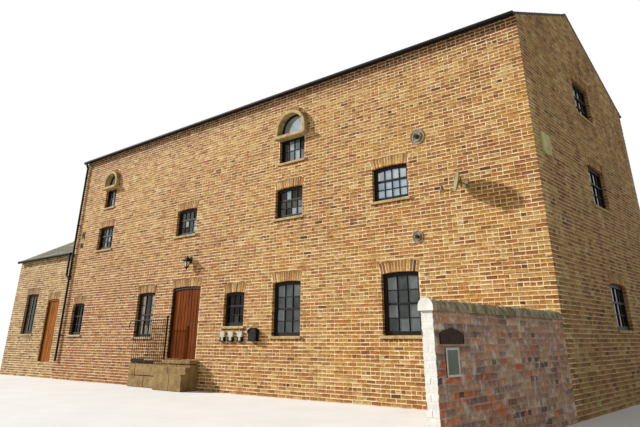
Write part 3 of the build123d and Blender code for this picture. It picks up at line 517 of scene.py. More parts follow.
# Brick colours of each wall, from the palest to the most burnt
WARM = [
    (248, 206, 136), (232, 180, 106), (212, 152, 82), (188, 124, 70), (154, 96, 62), (98, 68, 50),
]
BROWN = [
    (238, 208, 148), (226, 188, 126), (210, 164, 106), (188, 138, 92), (160, 112, 80), (112, 86, 66),
]
YARD = [
    (252, 230, 198), (238, 202, 166), (224, 174, 140), (204, 156, 130), (168, 134, 118), (112, 98, 96),
]
WHITE = [(254, 252, 246), (250, 247, 238), (246, 242, 232)]


def blend(first, second, share):
    return [a + (b - a) * share for a, b in zip(first, second)]


def shade(ramp, tone):
    """A colour from a ramp, by a tone between 0 and 1."""
    place = min(max(tone, 0), 0.999) * (len(ramp) - 1)
    low = int(place)
    return blend(linear(*ramp[low]), linear(*ramp[low + 1]), place - low)


def clamp(value):
    return max(0.0, min(1.0, value))


def arc_radius(half):
    """Radius of a shallow arch over a span of twice the half that is given."""
    return (half**2 + ARCH_RISE**2) / (2 * ARCH_RISE)


# A hole in the bricks is its lowest and highest level, and its two ends at any level
def flat_hole(u, half, low, high):
    return (low, high, lambda z: (u - half, u + half))


def arch_hole(u, width, head):
    """A flat arch: slanting ends under a curved crown."""
    radius = arc_radius(width / 2)
    centre = head + ARCH_RISE - radius
    outer = radius + ARCH_BAND
    end = centre + sqrt(outer**2 - (width / 2 + SPLAY) ** 2)

    def reach(z):
        half = width / 2 + SPLAY * (z - head) / (end - head)
        if z > end:
            half = sqrt(max(outer**2 - (z - centre) ** 2, 0))
        return (u - half, u + half)

    return (head, head + ARCH_RISE + ARCH_BAND, reach)


def opening_holes(openings, sills):
    """Windows with their sills, or doors without, and the arches over them."""
    holes = []
    for u, width, low, head, *look in openings:
        if sills:
            holes.append(flat_hole(u, width / 2 + SILL_EAR, low - SILL_HEIGHT, low))
        holes.append(flat_hole(u, width / 2, low, head))
        holes.append(arch_hole(u, width, head))
    return holes


def round_holes(arched):
    """The arched windows with their sills, shelves and rings of headers."""
    holes = []
    for u, width in arched:
        radius = width / 2 + HOOD_BAND + RING_BAND
        holes.append(flat_hole(u, width / 2 + SILL_EAR, ARCHED_SILL - SILL_HEIGHT, ARCHED_SILL))
        holes.append(flat_hole(u, width / 2, ARCHED_SILL, ARCHED_HEAD))
        holes.append(flat_hole(u, width / 2 + SHELF_EAR, ARCHED_HEAD, SHELF_TOP))
        holes.append(flat_hole(u, radius, SHELF_TOP, SPRING))

        def reach(z, u=u, radius=radius):
            half = sqrt(max(radius**2 - (z - SPRING) ** 2, 0))
            return (u - half, u + half)

        holes.append((SPRING, SPRING + radius, reach))
    return holes


def what_is_left(u0, u1, a, b, holes, limit):
    """Outlines of what the slopes and the holes leave of a brick between two levels."""
    bottom = limit(a)
    top = limit(b)
    parts = [[max(u0, bottom[0]), min(u1, bottom[1]), max(u0, top[0]), min(u1, top[1])]]
    gap = JOINT * 0.7
    for low, high, reach in holes:
        if low > b - 0.004 or high < a + 0.004:
            continue
        under = reach(max(a, low))
        over = reach(min(b, high))
        if u1 < min(under[0], over[0]) or u0 > max(under[1], over[1]):
            continue
        cut = []
        for p in parts:
            cut.append([p[0], min(p[1], under[0] - gap), p[2], min(p[3], over[0] - gap)])
            cut.append([max(p[0], under[1] + gap), p[1], max(p[2], over[1] + gap), p[3]])
        parts = cut
    for p in parts:
        for left in (0, 2):
            if p[left + 1] - p[left] < 0.006:
                p[left] = p[left + 1] = (p[left] + p[left + 1]) / 2
        if p[1] - p[0] + p[3] - p[2] >= 0.03:
            yield [(p[0], a), (p[1], a), (p[3], b), (p[2], b)]


def courses(span, height, holes, limit, ramp, tone, stain, course, start):
    """Outlines and colours of the bricks of a wall, every fourth course of headers."""
    low_u, high_u = span
    stretcher = (high_u - low_u) / max(1, round((high_u - low_u) / STRETCHER))
    quads = []
    tints = []
    for index in range(int(height / course) + 1):
        z0 = index * course + JOINT / 2
        z1 = min(z0 + course - JOINT, height)
        if z0 > height - 0.02:
            break
        headers = index % 4 == 3
        step = stretcher / 2 if headers else stretcher
        whole = headers or (index + start) % 2 == 0
        edges = [low_u]
        at = low_u + (step if whole else stretcher / 2)
        while at < high_u - 0.03:
            edges.append(at)
            at += step
        edges.append(high_u)
        near = [hole for hole in holes if hole[0] < z1 and hole[1] > z0]
        levels = {z for hole in near for z in hole[:2] if z0 + 0.008 < z < z1 - 0.008}
        levels = sorted(levels | {z0, z1})
        for a, b in zip(levels, levels[1:]):
            for left, right in zip(edges, edges[1:]):
                u0 = left + (JOINT / 2 if left > low_u else 0)
                u1 = right - (JOINT / 2 if right < high_u else 0)
                u = (u0 + u1) / 2
                for quad in what_is_left(u0, u1, a, b, near, limit):
                    darker = 0.12 if headers and rng.random() < 0.5 else 0
                    colour = shade(ramp, tone(u, a) + darker + rng.normal(0, 0.19))
                    quads.append(quad)
                    tints.append(stain(u, a, colour))
    return quads, tints


def arch_cells(u, width, head):
    """The upright bricks of a flat arch, each by its ends along the soffit and the crown."""
    radius = arc_radius(width / 2)
    centre = head + ARCH_RISE - radius
    count = round((width + SPLAY) / COURSE)
    gap = 0.009 / (width / 2)

    def corner(t, reach, half):
        return (u + t * half, centre + sqrt(reach**2 - (t * half) ** 2))

    for index in range(count):
        a = -1 + 2 * index / count + gap
        b = -1 + 2 * (index + 1) / count - gap
        low = [corner(t, radius, width / 2) for t in (a, b)]
        high = [corner(t, radius + ARCH_BAND, width / 2 + SPLAY) for t in (b, a)]
        yield low + high


def no_stain(u, z, colour):
    return colour


def brickwork(
    name, wall, span, height, windows, ramp, tone, extra=(), limit=None, doors=(), arched=(),
    stain=no_stain, course=COURSE, start=0, **finish
):
    """All the bricks of one wall, with those of its arches and inside its openings."""
    holes = opening_holes(windows, True) + opening_holes(doors, False) + round_holes(arched)
    holes += extra
    limit = limit or (lambda z: span)
    quads, tints = courses(span, height, holes, limit, ramp, tone, stain, course, start)
    openings = [(*window[:4], REVEAL) for window in windows]
    openings += [(*door, DOOR_REVEAL) for door in doors]
    inside = Build()
    for u, width, low, head, depth in openings:
        for cell in arch_cells(u, width, head):
            colour = shade(ramp, tone(u, head) + 0.06 + rng.normal(0, 0.17))
            quads.append(cell)
            tints.append(colour)
            (a, z_a), (b, z_b) = cell[:2]
            outline = [(a, z_a - 0.004), (b, z_b - 0.004), (b, z_b + 0.002), (a, z_a + 0.002)]
            inside.prism(wall, outline, -depth, 0.001, colour)
    openings += [(u, width, ARCHED_SILL, ARCHED_HEAD, REVEAL) for u, width in arched]
    for u, width, low, head, depth in openings:
        for side in (-1, 1):
            jamb = Wall(wall.place(u + side * width / 2, 0.0, 0.0), side * wall.out)
            deep = (-0.002, depth) if side < 0 else (-depth, 0.002)
            for index in range(int(low / COURSE), int(head / COURSE) + 1):
                z0 = max(index * COURSE + 0.006, low + 0.002)
                z1 = min((index + 1) * COURSE - 0.006, head - 0.003)
                if z1 - z0 > 0.015:
                    # The bricks of the jambs are a little darker: painted shade in the reveals.
                    colour = shade(ramp, tone(u, z0) + 0.1 + rng.normal(0, 0.17))
                    inside.prism(jamb, upright(*deep, z0, z1), -0.002, 0.004, colour, 0.002)
    if openings:
        inside.make(name + "_returns", BRICK, "brick")
    lay(name, wall, quads, tints, **finish)


def gabled(low, high, plate, slope):
    """The ends of a gable at a level."""

    def reach(z):
        cut = max(z - plate, 0) / tan(slope)
        return (low + cut, high - cut)

    return reach


front_wall = Wall((0, FRONT, 0), (1, 0, 0))
rear_wall = Wall((0, REAR, 0), (-1, 0, 0))
right_gable = Wall((RIGHT, 0, 0), (0, 1, 0))
left_gable = Wall((LEFT, 0, 0), (0, -1, 0))
annexe_wall = Wall((0, ANNEXE_FRONT, 0), (1, 0, 0))
annexe_back = Wall((0, ANNEXE_REAR, 0), (-1, 0, 0))
annexe_end = Wall((ANNEXE_LEFT, 0, 0), (0, -1, 0))
yard_inner = Wall((RIGHT - YARD_THICK, 0, 0), (0, -1, 0))
yard_end = Wall((0, YARD_END, 0), (1, 0, 0))


def front_tone(u, z):
    # Higher tone is darker brick. Low on the left the brick is redder and darkened with painted tree
    # shadow; under the eaves it is darkened with painted eaves shade.
    red_and_shaded_lower_left = clamp((2.0 - u) / 8) * clamp((4.6 - z) / 3)
    eaves = clamp((z - 7.1) / 0.4)
    corner = clamp((u - 7.6) / 1.2) * clamp((z - 4) / 3)
    return 0.26 + 0.24 * hill(u, z, 1, 5.2) + 0.18 * red_and_shaded_lower_left + 0.26 * eaves + 0.12 * corner


def front_stain(u, z, colour):
    """Golden patches on the sunny side, redder brick low on the left, darkened there with painted tree
    shadow, and a darker, redder band under the eaves: redder brick with painted eaves shade.
    """
    gold = 0.6 * clamp(hill(u, z, 9, 2.7) * 2.4 - 1.0) * clamp((u + 2) / 4) * clamp(7.4 - z)
    # Low on the left: redder brick, its darkening partly painted tree shadow.
    red = 0.5 * clamp((2.0 - u) / 6) * clamp((4.6 - z) / 2.5)
    colour = blend(colour, linear(230, 152, 44), gold * rng.uniform(0.2, 1))
    colour = blend(colour, linear(186, 108, 72), red * rng.uniform(0.4, 1.4))
    if rng.random() < 0.12:
        colour = blend(colour, linear(222, 126, 78), rng.uniform(0.2, 0.7))
    # Under the eaves: redder brick with painted eaves shade.
    return blend(colour, linear(142, 84, 56), 0.55 * clamp((z - 7.05) / 0.35))


def gable_tone(u, z):
    return 0.26 + 0.42 * hill(u, z, 2, 3.6) + 0.1 * sin(u * 9 + 2 * sin(z))


def gable_stain(u, z, colour):
    """Broad olive areas, and redder brick lower down."""
    olive = 0.5 * clamp(hill(u, z, 4, 3.1) * 2 - 0.8)
    colour = blend(colour, linear(188, 168, 96), olive * rng.uniform(0.3, 1))
    red = 0.35 * clamp(hill(u, z, 6, 2.4) * 2 - 0.9) * clamp((6.6 - z) / 3)
    return blend(colour, linear(196, 120, 90), red)


def plain_tone(u, z):
    return 0.3 + 0.3 * hill(u, z, 3, 4.4)


def yard_tone(u, z):
    return 0.3 + 0.45 * hill(u, z, 5, 1.7)


def yard_stain(u, z, colour):
    """Odd bright red and orange bricks, most of them low at the near end."""
    bright = clamp((-2.4 - u) / 1.2) * clamp((0.95 - z) / 0.4)
    if rng.random() < 0.05 + 0.4 * bright:
        colour = blend(colour, linear(244, 122, 66), rng.uniform(0.4, 0.9))
    return colour


whole_length = (LEFT - PAST_CORNER, RIGHT + PAST_CORNER)
brickwork(
    "front_bricks", front_wall, whole_length, PLATE - 0.002, FRONT_WINDOWS, WARM, front_tone,
    [flat_hole(YARD_MIDDLE, YARD_THICK / 2 + 0.012, 0, YARD_TOP)], doors=DOORS[:1], arched=ARCHED,
    stain=front_stain,
)
gable_height = PLATE + (REAR - FRONT) / 2 * tan(PITCH) - 0.03
brickwork(
    "right_gable_bricks", right_gable, (FRONT + 0.001, REAR), gable_height, RIGHT_WINDOWS, BROWN,
    gable_tone, limit=gabled(FRONT, REAR, PLATE, PITCH), stain=gable_stain, start=1, sooty=0.78,
)
annexe_rise = (ANNEXE_REAR - ANNEXE_FRONT) / 2 * tan(ANNEXE_PITCH)
roof_on_gable = ANNEXE_PLATE + 0.06
abutment = (
    0, roof_on_gable + annexe_rise, gabled(-ANNEXE_REAR, -ANNEXE_FRONT, roof_on_gable, ANNEXE_PITCH)
)
# Painted shade: the left gable faces the sun, and its bricks are dimmed as a whole.
brickwork(
    "left_gable_bricks", left_gable, (-REAR, -FRONT - 0.001), gable_height, LEFT_WINDOWS, BROWN,
    plain_tone, [abutment], gabled(-REAR, -FRONT, PLATE, PITCH), start=1, soot=0.6,
)
brickwork("rear_bricks", rear_wall, whole_length, PLATE - 0.002, REAR_WINDOWS, BROWN, plain_tone)
brickwork(
    "annexe_front_bricks", annexe_wall, (ANNEXE_LEFT - PAST_CORNER, LEFT), ANNEXE_PLATE - 0.002,
    [ANNEXE_WINDOW], BROWN, plain_tone, doors=DOORS[1:],
)
brickwork(
    "annexe_rear_bricks", annexe_back, (-LEFT, -ANNEXE_LEFT + PAST_CORNER), ANNEXE_PLATE - 0.002,
    [ANNEXE_REAR_WINDOW], BROWN, plain_tone,
)
# Painted shade: the annexe end faces the sun, and its bricks are dimmed as a whole.
brickwork(
    "annexe_end_bricks", annexe_end, (-ANNEXE_REAR, -ANNEXE_FRONT - 0.001),
    ANNEXE_PLATE + annexe_rise - 0.03, [], BROWN, plain_tone,
    limit=gabled(-ANNEXE_REAR, -ANNEXE_FRONT, ANNEXE_PLATE, ANNEXE_PITCH), start=1, soot=0.6,
)
old = {"material": OLD_BRICK, "rough": 0.0045, "sooty": 0.85}
washed = {"material": LIMEWASH, "rough": 0.004}
end_span = (RIGHT - YARD_THICK - PAST_CORNER, RIGHT + PAST_CORNER)
# Painted light on the shaded yard side, lifted as a whole, and painted shade on the inner side, which
# faces the sun and is dimmed.
for name, wall, span, ramp, finish in (
    ("yard_side_bricks", right_gable, (YARD_END + 0.001, FRONT), YARD, {**old, "soot": 1.14}),
    ("yard_inner_bricks", yard_inner, (-FRONT, -YARD_END - 0.001), YARD, {**old, "soot": 0.6}),
    ("yard_end_bricks", yard_end, end_span, WHITE, washed),
):
    brickwork(
        name, wall, span, YARD_TOP - 0.003, [], ramp, yard_tone, stain=yard_stain,
        course=YARD_COURSE, **finish,
    )

# Rings of brick headers round the two stone hoods
rings = Build()
for u, width in ARCHED:
    inner = width / 2 + HOOD_BAND + 0.004
    outer = inner + RING_BAND - 0.008
    count = round(pi * (inner + outer) / 2 / COURSE)
    for index in range(count):
        turns = (pi * (index + 0.1) / count, pi * (index + 0.9) / count)
        cell = ring_cell(u, SPRING, inner, outer, *turns)
        colour = shade(WARM, 0.55 + rng.normal(0, 0.17))
        rings.prism(front_wall, cell, -0.002, 0.006 + rng.uniform(-0.001, 0.002), colour, 0.003)
    for side in (-1, 1):
        for z in (SHELF_TOP + 0.006, SHELF_TOP + 0.083):
            span = sorted((u + side * inner, u + side * outer))
            colour = shade(WARM, 0.5 + rng.normal(0, 0.17))
            rings.prism(front_wall, upright(*span, z, z + 0.066), -0.002, 0.006, colour, 0.003)
rings.make("hood_ring_bricks", BRICK, "brick")

# Window bars and panes, with what each window shows in its glass: painted reflections of sky and trees,
# the painted shade of the rooms behind, and pale curtains
LOOKS = {
    "sky": [(200, 214, 226), (186, 202, 216), (210, 220, 228)],
    "mixed": [(168, 178, 178), (136, 144, 142), (92, 94, 84), (58, 56, 48), (184, 192, 194)],
    "dark": [(34, 30, 26), (28, 24, 21), (46, 42, 38), (70, 70, 66)],
    "dim": [(96, 102, 100), (78, 82, 80), (120, 126, 124)],
    "curtain": [(178, 168, 144), (158, 150, 128), (72, 64, 52)],
}
bars = Build()
panes = Build()


def glaze(wall, u, half, low, high, columns, rows, look, rise=0.0):
    """One sash: its panes and the bars between them, under a head that may be arched."""
    tall = (high - low) / rows
    wide = 2 * half / columns

    def bow(at):
        return rise * (1 - ((at - u) / half) ** 2)

    for column in range(columns):
        left = u - half + column * wide
        right = left + wide
        for row in range(rows):
            z0 = low + row * tall
            z1 = z0 + tall
            pick = rng.integers(len(LOOKS[look]))
            # Curtain windows: pale curtains at the sides and the painted shade of the room between them.
            # Mixed windows: the left column takes the two darker tints.
            if look == "curtain":
                pick = 2 if 0 < column < columns - 1 and rng.random() < 0.8 else pick % 2
            if look == "mixed" and column == 0:
                pick = 2 + pick % 2
            outline = upright(left, right, z0, z1)
            if row == rows - 1:
                outline[2:] = [(right, z1 + bow(right)), (left, z1 + bow(left))]
            panes.prism(wall, outline, *PANE, linear(*LOOKS[look][pick]))
            if row:
                outline = upright(left, right, z0 - BAR_HALF, z0 + BAR_HALF)
                bars.prism(wall, outline, BAR_BACK, -0.091, bevel=0.005)
        if column:
            outline = centred(left, BAR_HALF, low, high + bow(left))
            bars.prism(wall, outline, BAR_BACK, -0.09, bevel=0.005)


glazed = [
    (front_wall, FRONT_WINDOWS),
    (right_gable, RIGHT_WINDOWS),
    (left_gable, LEFT_WINDOWS),
    (rear_wall, REAR_WINDOWS),
    (annexe_wall, [ANNEXE_WINDOW]),
    (annexe_back, [ANNEXE_REAR_WINDOW]),
]
for wall, windows in glazed:
    for u, width, sill, head, look in windows:
        tall = head - sill > 1.1
        columns = 4 if width > 0.9 and not tall else 3
        rail = sill + (0.5 if tall else 0.6) * (head - sill)
        half = width / 2 - FRAME
        high = head - FRAME
        glaze(wall, u, half, sill + FRAME, rail - MEETING_HALF, columns, 2, look)
        upper = 2 if tall else 1
        glaze(wall, u, half, rail + MEETING_HALF, high, columns, upper, look, ARCH_RISE)
        # Beads along the sashes and the lip of the meeting rail
        for outline, front in (
            (centred(u - half - 0.03, 0.011, sill + 0.03, high), -0.073),
            (centred(u + half + 0.03, 0.011, sill + 0.03, high), -0.073),
            (centred(u, half + 0.02, sill + 0.05, sill + 0.072), -0.073),
            (centred(u, half, rail - 0.008, rail + 0.014), -0.076),
        ):
            bars.prism(wall, outline, BEAD_BACK, front, bevel=0.004)
for u, width in ARCHED:
    half = width / 2 - ARCHED_FRAME
    low = ARCHED_SILL + ARCHED_FRAME
    glaze(front_wall, u, half, low, ARCHED_HEAD - ARCHED_FRAME, 4 if width > 0.8 else 3, 2, "mixed")
    outline = [(u - half, SHELF_TOP + ARCHED_FRAME), (u + half, SHELF_TOP + ARCHED_FRAME)]
    outline += [on_circle(u, SPRING, half, pi * index / 14) for index in range(15)]
    # The top light's pale blue tint is a painted sky reflection.
    panes.prism(front_wall, outline, *PANE, linear(214, 230, 238))
bars.make("window_bars", BLACK_PAINT, "black_joinery")
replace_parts(panes.make("window_panes", GLASS, "window_glass"), "window_glass")

# Worn stone sills under the windows
sills = Build()
arched_sills = [(u, width, ARCHED_SILL, ARCHED_HEAD, "mixed") for u, width in ARCHED]
for wall, windows in glazed + [(front_wall, arched_sills)]:
    for u, width, sill, head, look in windows:
        half = width / 2 + SILL_EAR
        low = (u - half, sill - SILL_HEIGHT, -REVEAL)
        sills.rounded(wall.place_all, low, (u + half, sill, 0.048), 0.012, 0.07, 0.006)
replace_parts(sills.make("worn_sills", SANDSTONE, "sandstone", weld=True), "window_sills")


# Ledged doors of upright boards
def plank_door(name, body, node, wall, u, width, low, head, boards, colour, ledges):
    """Boards under a shallow arch, a thin back that closes their joints and three ledges."""
    half = width / 2 - 0.055
    top = head - 0.055
    low = low + 0.008
    radius = arc_radius(half)
    colour = linear(*colour)

    def crown(at):
        return (at, top + ARCH_RISE - radius + sqrt(radius**2 - (at - u) ** 2))

    door = Build()
    wide = 2 * half / boards
    for index in range(boards):
        a = u - half + index * wide + 0.006
        b = a + wide - 0.012
        tint = blend(colour, (0.02, 0.01, 0.006), rng.uniform(0, 0.25))
        outline = [(a, low), (b, low), crown(b), crown((a + b) / 2), crown(a)]
        door.prism(wall, outline, -0.024, rng.uniform(-0.001, 0), tint, 0.006)
    outline = [(u - half, low), (u + half, low)]
    outline += [crown(u + half * share) for share in (1, 0.5, 0, -0.5, -1)]
    door.prism(wall, outline, -0.028, -0.02, linear(46, 24, 14))
    for z in ledges:
        door.prism(wall, centred(u, half - 0.02, z - 0.07, z + 0.07), -0.044, -0.027, colour)
    item = door.make(name, WOOD, node[1], body)
    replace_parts(item, node[0])


plank_door(
    "front_door_planks", "front_door", ("front_door", "door_boards"), Wall((0, -0.104, 0), (1, 0, 0)),
    *DOORS[0], 9, (150, 78, 24), (1.008, 1.67, 2.335),
)
plank_door(
    "annexe_door_planks", "annexe_door", ("annexe_door", "annexe_boards"),
    Wall((0, -0.044, 0), (1, 0, 0)), *DOORS[1], 6, (200, 120, 42), (0.778, 1.55, 2.315),
)

# Varnished facing on the frame of the annexe door
facing = Build()
u, width, low, head = DOORS[1]
for outline in (
    centred(u - width / 2 + 0.025, 0.023, low + 0.002, head + 0.003),
    centred(u + width / 2 - 0.025, 0.023, low + 0.002, head + 0.003),
    centred(u, width / 2 - 0.05, head - 0.042, head + 0.004),
):
    facing.prism(annexe_wall, outline, -0.05, -0.031, linear(196, 118, 52), 0.003)
facing.make("annexe_door_facing", WOOD, "annexe_boards")

# Landing and steps of worn stone, two blocks to each, by their joint, depth and height
KERB_LEFT = -3.9
STEPS_LEFT = -2.205
STEPS_RIGHT = -0.95
steps = Build()
for split, y0, y1, z0, z1 in (
    (-1.62, -0.47, FRONT, 0.635, 0.735),
    (-1.56, -0.44, FRONT, 0.0, 0.632),
    (-1.74, -0.59, -0.43, 0.0, 0.57),
    (-1.48, -0.71, -0.58, 0.0, 0.405),
):
    for x0, x1 in ((STEPS_LEFT, split), (split + 0.005, STEPS_RIGHT)):
        steps.rounded(np.asarray, (x0, y0, z0), (x1, y1, z1), 0.016, 0.06, 0.012)
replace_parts(steps.make("worn_steps", GREY_STONE, "grey_stone", weld=True), "door_steps")
kerb = Build()
for split, y0, z0, z1, wear in ((-3.56, -0.42, 0.30, 0.6, 0.016), (-3.1, -0.41, 0.0, 0.297, 0.012)):
    for x0, x1 in ((KERB_LEFT, split), (split + 0.004, STEPS_LEFT)):
        kerb.rounded(np.asarray, (x0, y0, z0), (x1, FRONT, z1), 0.02, 0.06, wear)
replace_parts(kerb.make("worn_kerb", GREY_STONE, "grey_stone", weld=True), "stone_kerb")

# Half-round coping of the yard wall, stone by stone, with a limewashed near end
COPING_START = YARD_END - 0.028
STONES = 7
CUTS = 14
radius = (0.11**2 + 0.125**2) / 0.25
centre = 0.155 - radius
lean = asin((0.03 - centre) / radius)
turns = [lean + (pi - 2 * lean) * index / 12 for index in range(13)]
profile = [(0.11, 0.0), *(on_circle(0, centre, radius, turn) for turn in turns), (-0.11, 0.0)]
raised = np.array([z > 0 for x, z in profile])
coping = Build()
stone = (FRONT - COPING_START + 0.005) / STONES
for index in range(STONES):
    start = COPING_START + index * stone
    sink = rng.uniform(0, 0.006)
    sections = []
    for cut in range(CUTS + 1):
        y = start + (stone - 0.005) * cut / CUTS
        shrink = 0.95 if cut in (0, CUTS) else 1.0
        section = np.array([(YARD_MIDDLE + x * shrink, y, YARD_TOP + z * shrink) for x, z in profile])
        section[:, 2] -= sink * raised
        wear = 0.3 * roughness(section * 1.4) * raised
        section -= (section - [YARD_MIDDLE, y, YARD_TOP + 0.03]) * wear[:, None]
        sections.append(section)
    coping.loft(sections)
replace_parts(coping.make("worn_coping", COPING, "grey_stone", weld=True), "yard_wall_coping")
wash = Build()
wash.prism(yard_end, upright(RIGHT - YARD_THICK, RIGHT, 0.0, YARD_TOP), -0.001, 0.0025)
ends = [(YARD_MIDDLE + x * 0.96, YARD_TOP + z * 0.97 + 0.001) for x, z in profile]
wash.prism(yard_end, ends, 0.02, 0.0298)
wash.make("limewash_end", LIMEWASH, "brick")

# Slates in overlapping courses on every slope
SLATE_GAP = 0.0015
SLATE_GREYS = [(96, 92, 92), (84, 80, 82), (74, 72, 74), (64, 62, 64), (56, 54, 56)]
MOSSY = [(190, 182, 150), (146, 138, 104), (112, 106, 82), (98, 96, 62), (76, 76, 50)]


def slates(name, x0, x1, eaves, ridge, slot, ramp, size=(0.25, 0.21), seed=1):
    """One slope of slates, from (y, z) at its eaves to (y, z) at its ridge."""
    eaves = np.array(eaves)
    ridge = np.array(ridge)
    run = np.linalg.norm(ridge - eaves)
    up = (ridge - eaves) / run
    normal = np.array([-up[1], up[0]]) * np.sign(up[0])
    rows = round(run / size[1])
    gauge = run / rows
    columns = round((x1 - x0) / size[0])
    wide = (x1 - x0) / columns
    faces = [(0, 1, 3, 2), (2, 3, 5, 4), (0, 2, 4, 6), (1, 7, 5, 3)]
    if up[0] < 0:
        faces = [face[::-1] for face in faces]
    roof = Build()
    for row in range(rows):
        for column in range(-1, columns + 1):
            left = x0 + (column + 0.5 * (row % 2)) * wide
            a = max(left + SLATE_GAP, x0)
            b = min(left + wide - SLATE_GAP, x1)
            if b - a < 0.03:
                continue
            slip = rng.normal(0, 0.003)
            lift = 0.013 + rng.uniform(-0.001, 0.002)
            low = eaves + up * max(row * gauge + slip, 0)
            high = eaves + up * min((row + 1) * gauge + 0.01, run)
            section = (low, low + normal * lift, high + normal * 0.004, high)
            tone = 0.2 + 0.6 * hill(left, row * gauge, seed, 3.0) + rng.normal(0, 0.16)
            roof.add([(x, *spot) for spot in section for x in (a, b)], faces, shade(ramp, tone))
    roof.make(name, SLATE, slot)


ridge_lines = []
for prefix, x0, x1, front, rear, plate, slope, cover, *look in (
    ("", -8.913, 8.913, FRONT, REAR, PLATE, PITCH, 0.05, "roof_slate", SLATE_GREYS),
    ("annexe_", -13.293, -8.902, ANNEXE_FRONT, ANNEXE_REAR, ANNEXE_PLATE, ANNEXE_PITCH, 0.06,
     "mossy_slate", MOSSY, (0.28, 0.24), 7),
):
    base_z = plate + cover / cos(slope) + 0.0005
    eaves_z = base_z - 0.07 * tan(slope)
    ridge = ((front + rear) / 2, base_z + (rear - front) / 2 * tan(slope))
    ridge_lines.append((*ridge, slope))
    slates(prefix + "front_slates", x0, x1, (front - 0.068, eaves_z), ridge, *look)
    slates(prefix + "rear_slates", x0, x1, (rear + 0.068, eaves_z), ridge, *look)

# Ridge tiles laid end to end, with a worn flat along the top
TILE = 0.45
TILE_HALF = 0.15
TILE_THICK = 0.03
TOP_HALF = 0.03
ridges = Build()
for (x0, x1), (y, top, slope) in zip(((-8.915, 8.915), (-13.295, -8.9)), ridge_lines):
    count = round((x1 - x0) / TILE)
    long = (x1 - x0) / count
    thick = TILE_THICK / cos(slope)
    foot = top - TILE_HALF * tan(slope)
    shoulder = top + thick - TOP_HALF * tan(slope)
    for index in range(count):
        lift = rng.uniform(-0.002, 0.001)
        section = [
            (y - TILE_HALF, foot + 0.004), (y, top + 0.004), (y + TILE_HALF, foot + 0.004),
            (y + TILE_HALF, foot + thick + lift), (y + TOP_HALF, shoulder + lift),
            (y, top + thick - 0.004 + lift), (y - TOP_HALF, shoulder + lift),
            (y - TILE_HALF, foot + thick + lift),
        ]
        ridges.prism(Wall((x0 + index * long, 0, 0), (0, 1, 0)), section, 0, long - 0.005)
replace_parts(ridges.make("ridge_run", RIDGE_CLAY, "ridge_clay"), "ridge_tiles")

# Iron nuts and crossed arms of the tie plates, raised rims on the round ones
ties = Build()
rims = Build()
for x, z, radius in ((6.26, 5.49, 0.19), (6.12, 3.26, 0.135)):
    ties.prism(front_wall, hexagon(x, z, 0.3 * radius), 0.02, 0.058, bevel=0.006)
    for outer, inner, height in ((0.99, 0.86, 0.02), (0.6, 0.5, 0.032)):
        for k in range(28):
            turns = (2 * pi * k / 28, 2 * pi * (k + 1) / 28)
            cell = ring_cell(x, z, inner * radius, outer * radius, *turns)
            rims.prism(front_wall, cell, 0.002, height)
for x, z in ((-8.33, 4.83), (-8.35, 4.45)):
    ties.prism(front_wall, hexagon(x, z, 0.03), 0.03, 0.046, bevel=0.005)
    for turn in (pi / 4, 3 * pi / 4):
        along = np.array([cos(turn), sin(turn)]) * 0.127
        across = np.array([-sin(turn), cos(turn)]) * 0.027
        arm = [(x, z) + a * along + b * across for a, b in SQUARE]
        ties.prism(front_wall, arm, 0.004, 0.019, bevel=0.002)
ties.make("tie_nuts", BLACK_IRON, "black_iron")
rims.make("tie_rims", GREY_METAL, "grey_metal", weld=True)

# Pale panes of the lantern, and its cap and tip
LAMP_X = -1.685
LAMP_Y = -0.31
lamp = Build()
for side in range(4):
    turn = pi * side / 2
    across = np.array([cos(turn), sin(turn), 0])
    out = np.array([sin(turn), -cos(turn), 0])
    skins = []
    for proud in (-0.002, 0.0015):
        skins.append([
            np.array([LAMP_X, LAMP_Y, z]) + out * (reach + proud) + across * half
            for z, reach, half in (
                (3.345, 0.0665, 0.044), (3.345, 0.0665, -0.044), (3.21, 0.0465, -0.028),
                (3.21, 0.0465, 0.028),
            )
        ])
    lamp.loft(skins)
lamp.make("lantern_panes", LAMP_GLASS, "window_glass")
trim = Build()
for levels in (
    ((3.12, 0.008), (3.165, 0.02), (3.188, 0.056), (3.2, 0.056)),
    ((3.36, 0.104), (3.368, 0.108), (3.42, 0.062), (3.465, 0.03), (3.51, 0.008)),
):
    trim.loft([[(LAMP_X + a * half, LAMP_Y + b * half, z) for a, b in SQUARE] for z, half in levels])
trim.make("lantern_cap_and_tip", BLACK_IRON, "black_metal")

# Hood, flap and door panel of the post box
BOX_X = 1.2
BOX_Z = 1.405
box = Build()
turns = [pi - pi * index / 12 for index in range(13)]
hood = [(0.16 * cos(turn), 0.112 * sin(turn)) for turn in turns]
for (a, b), (c, d) in zip(hood, hood[1:]):
    band = ((a, b), (a * 0.88, b * 0.86), (c * 0.88, d * 0.86), (c, d))
    box.prism(front_wall, [(BOX_X + x, BOX_Z + z) for x, z in band], 0.0, 0.136)
box.prism(front_wall, centred(BOX_X, 0.1, 1.375, 1.41), 0.119, 0.129, bevel=0.004)
box.prism(front_wall, centred(BOX_X, 0.11, 1.22, 1.355), 0.119, 0.125, bevel=0.003)
box.make("post_box_hood", BLACK_IRON, "black_metal")

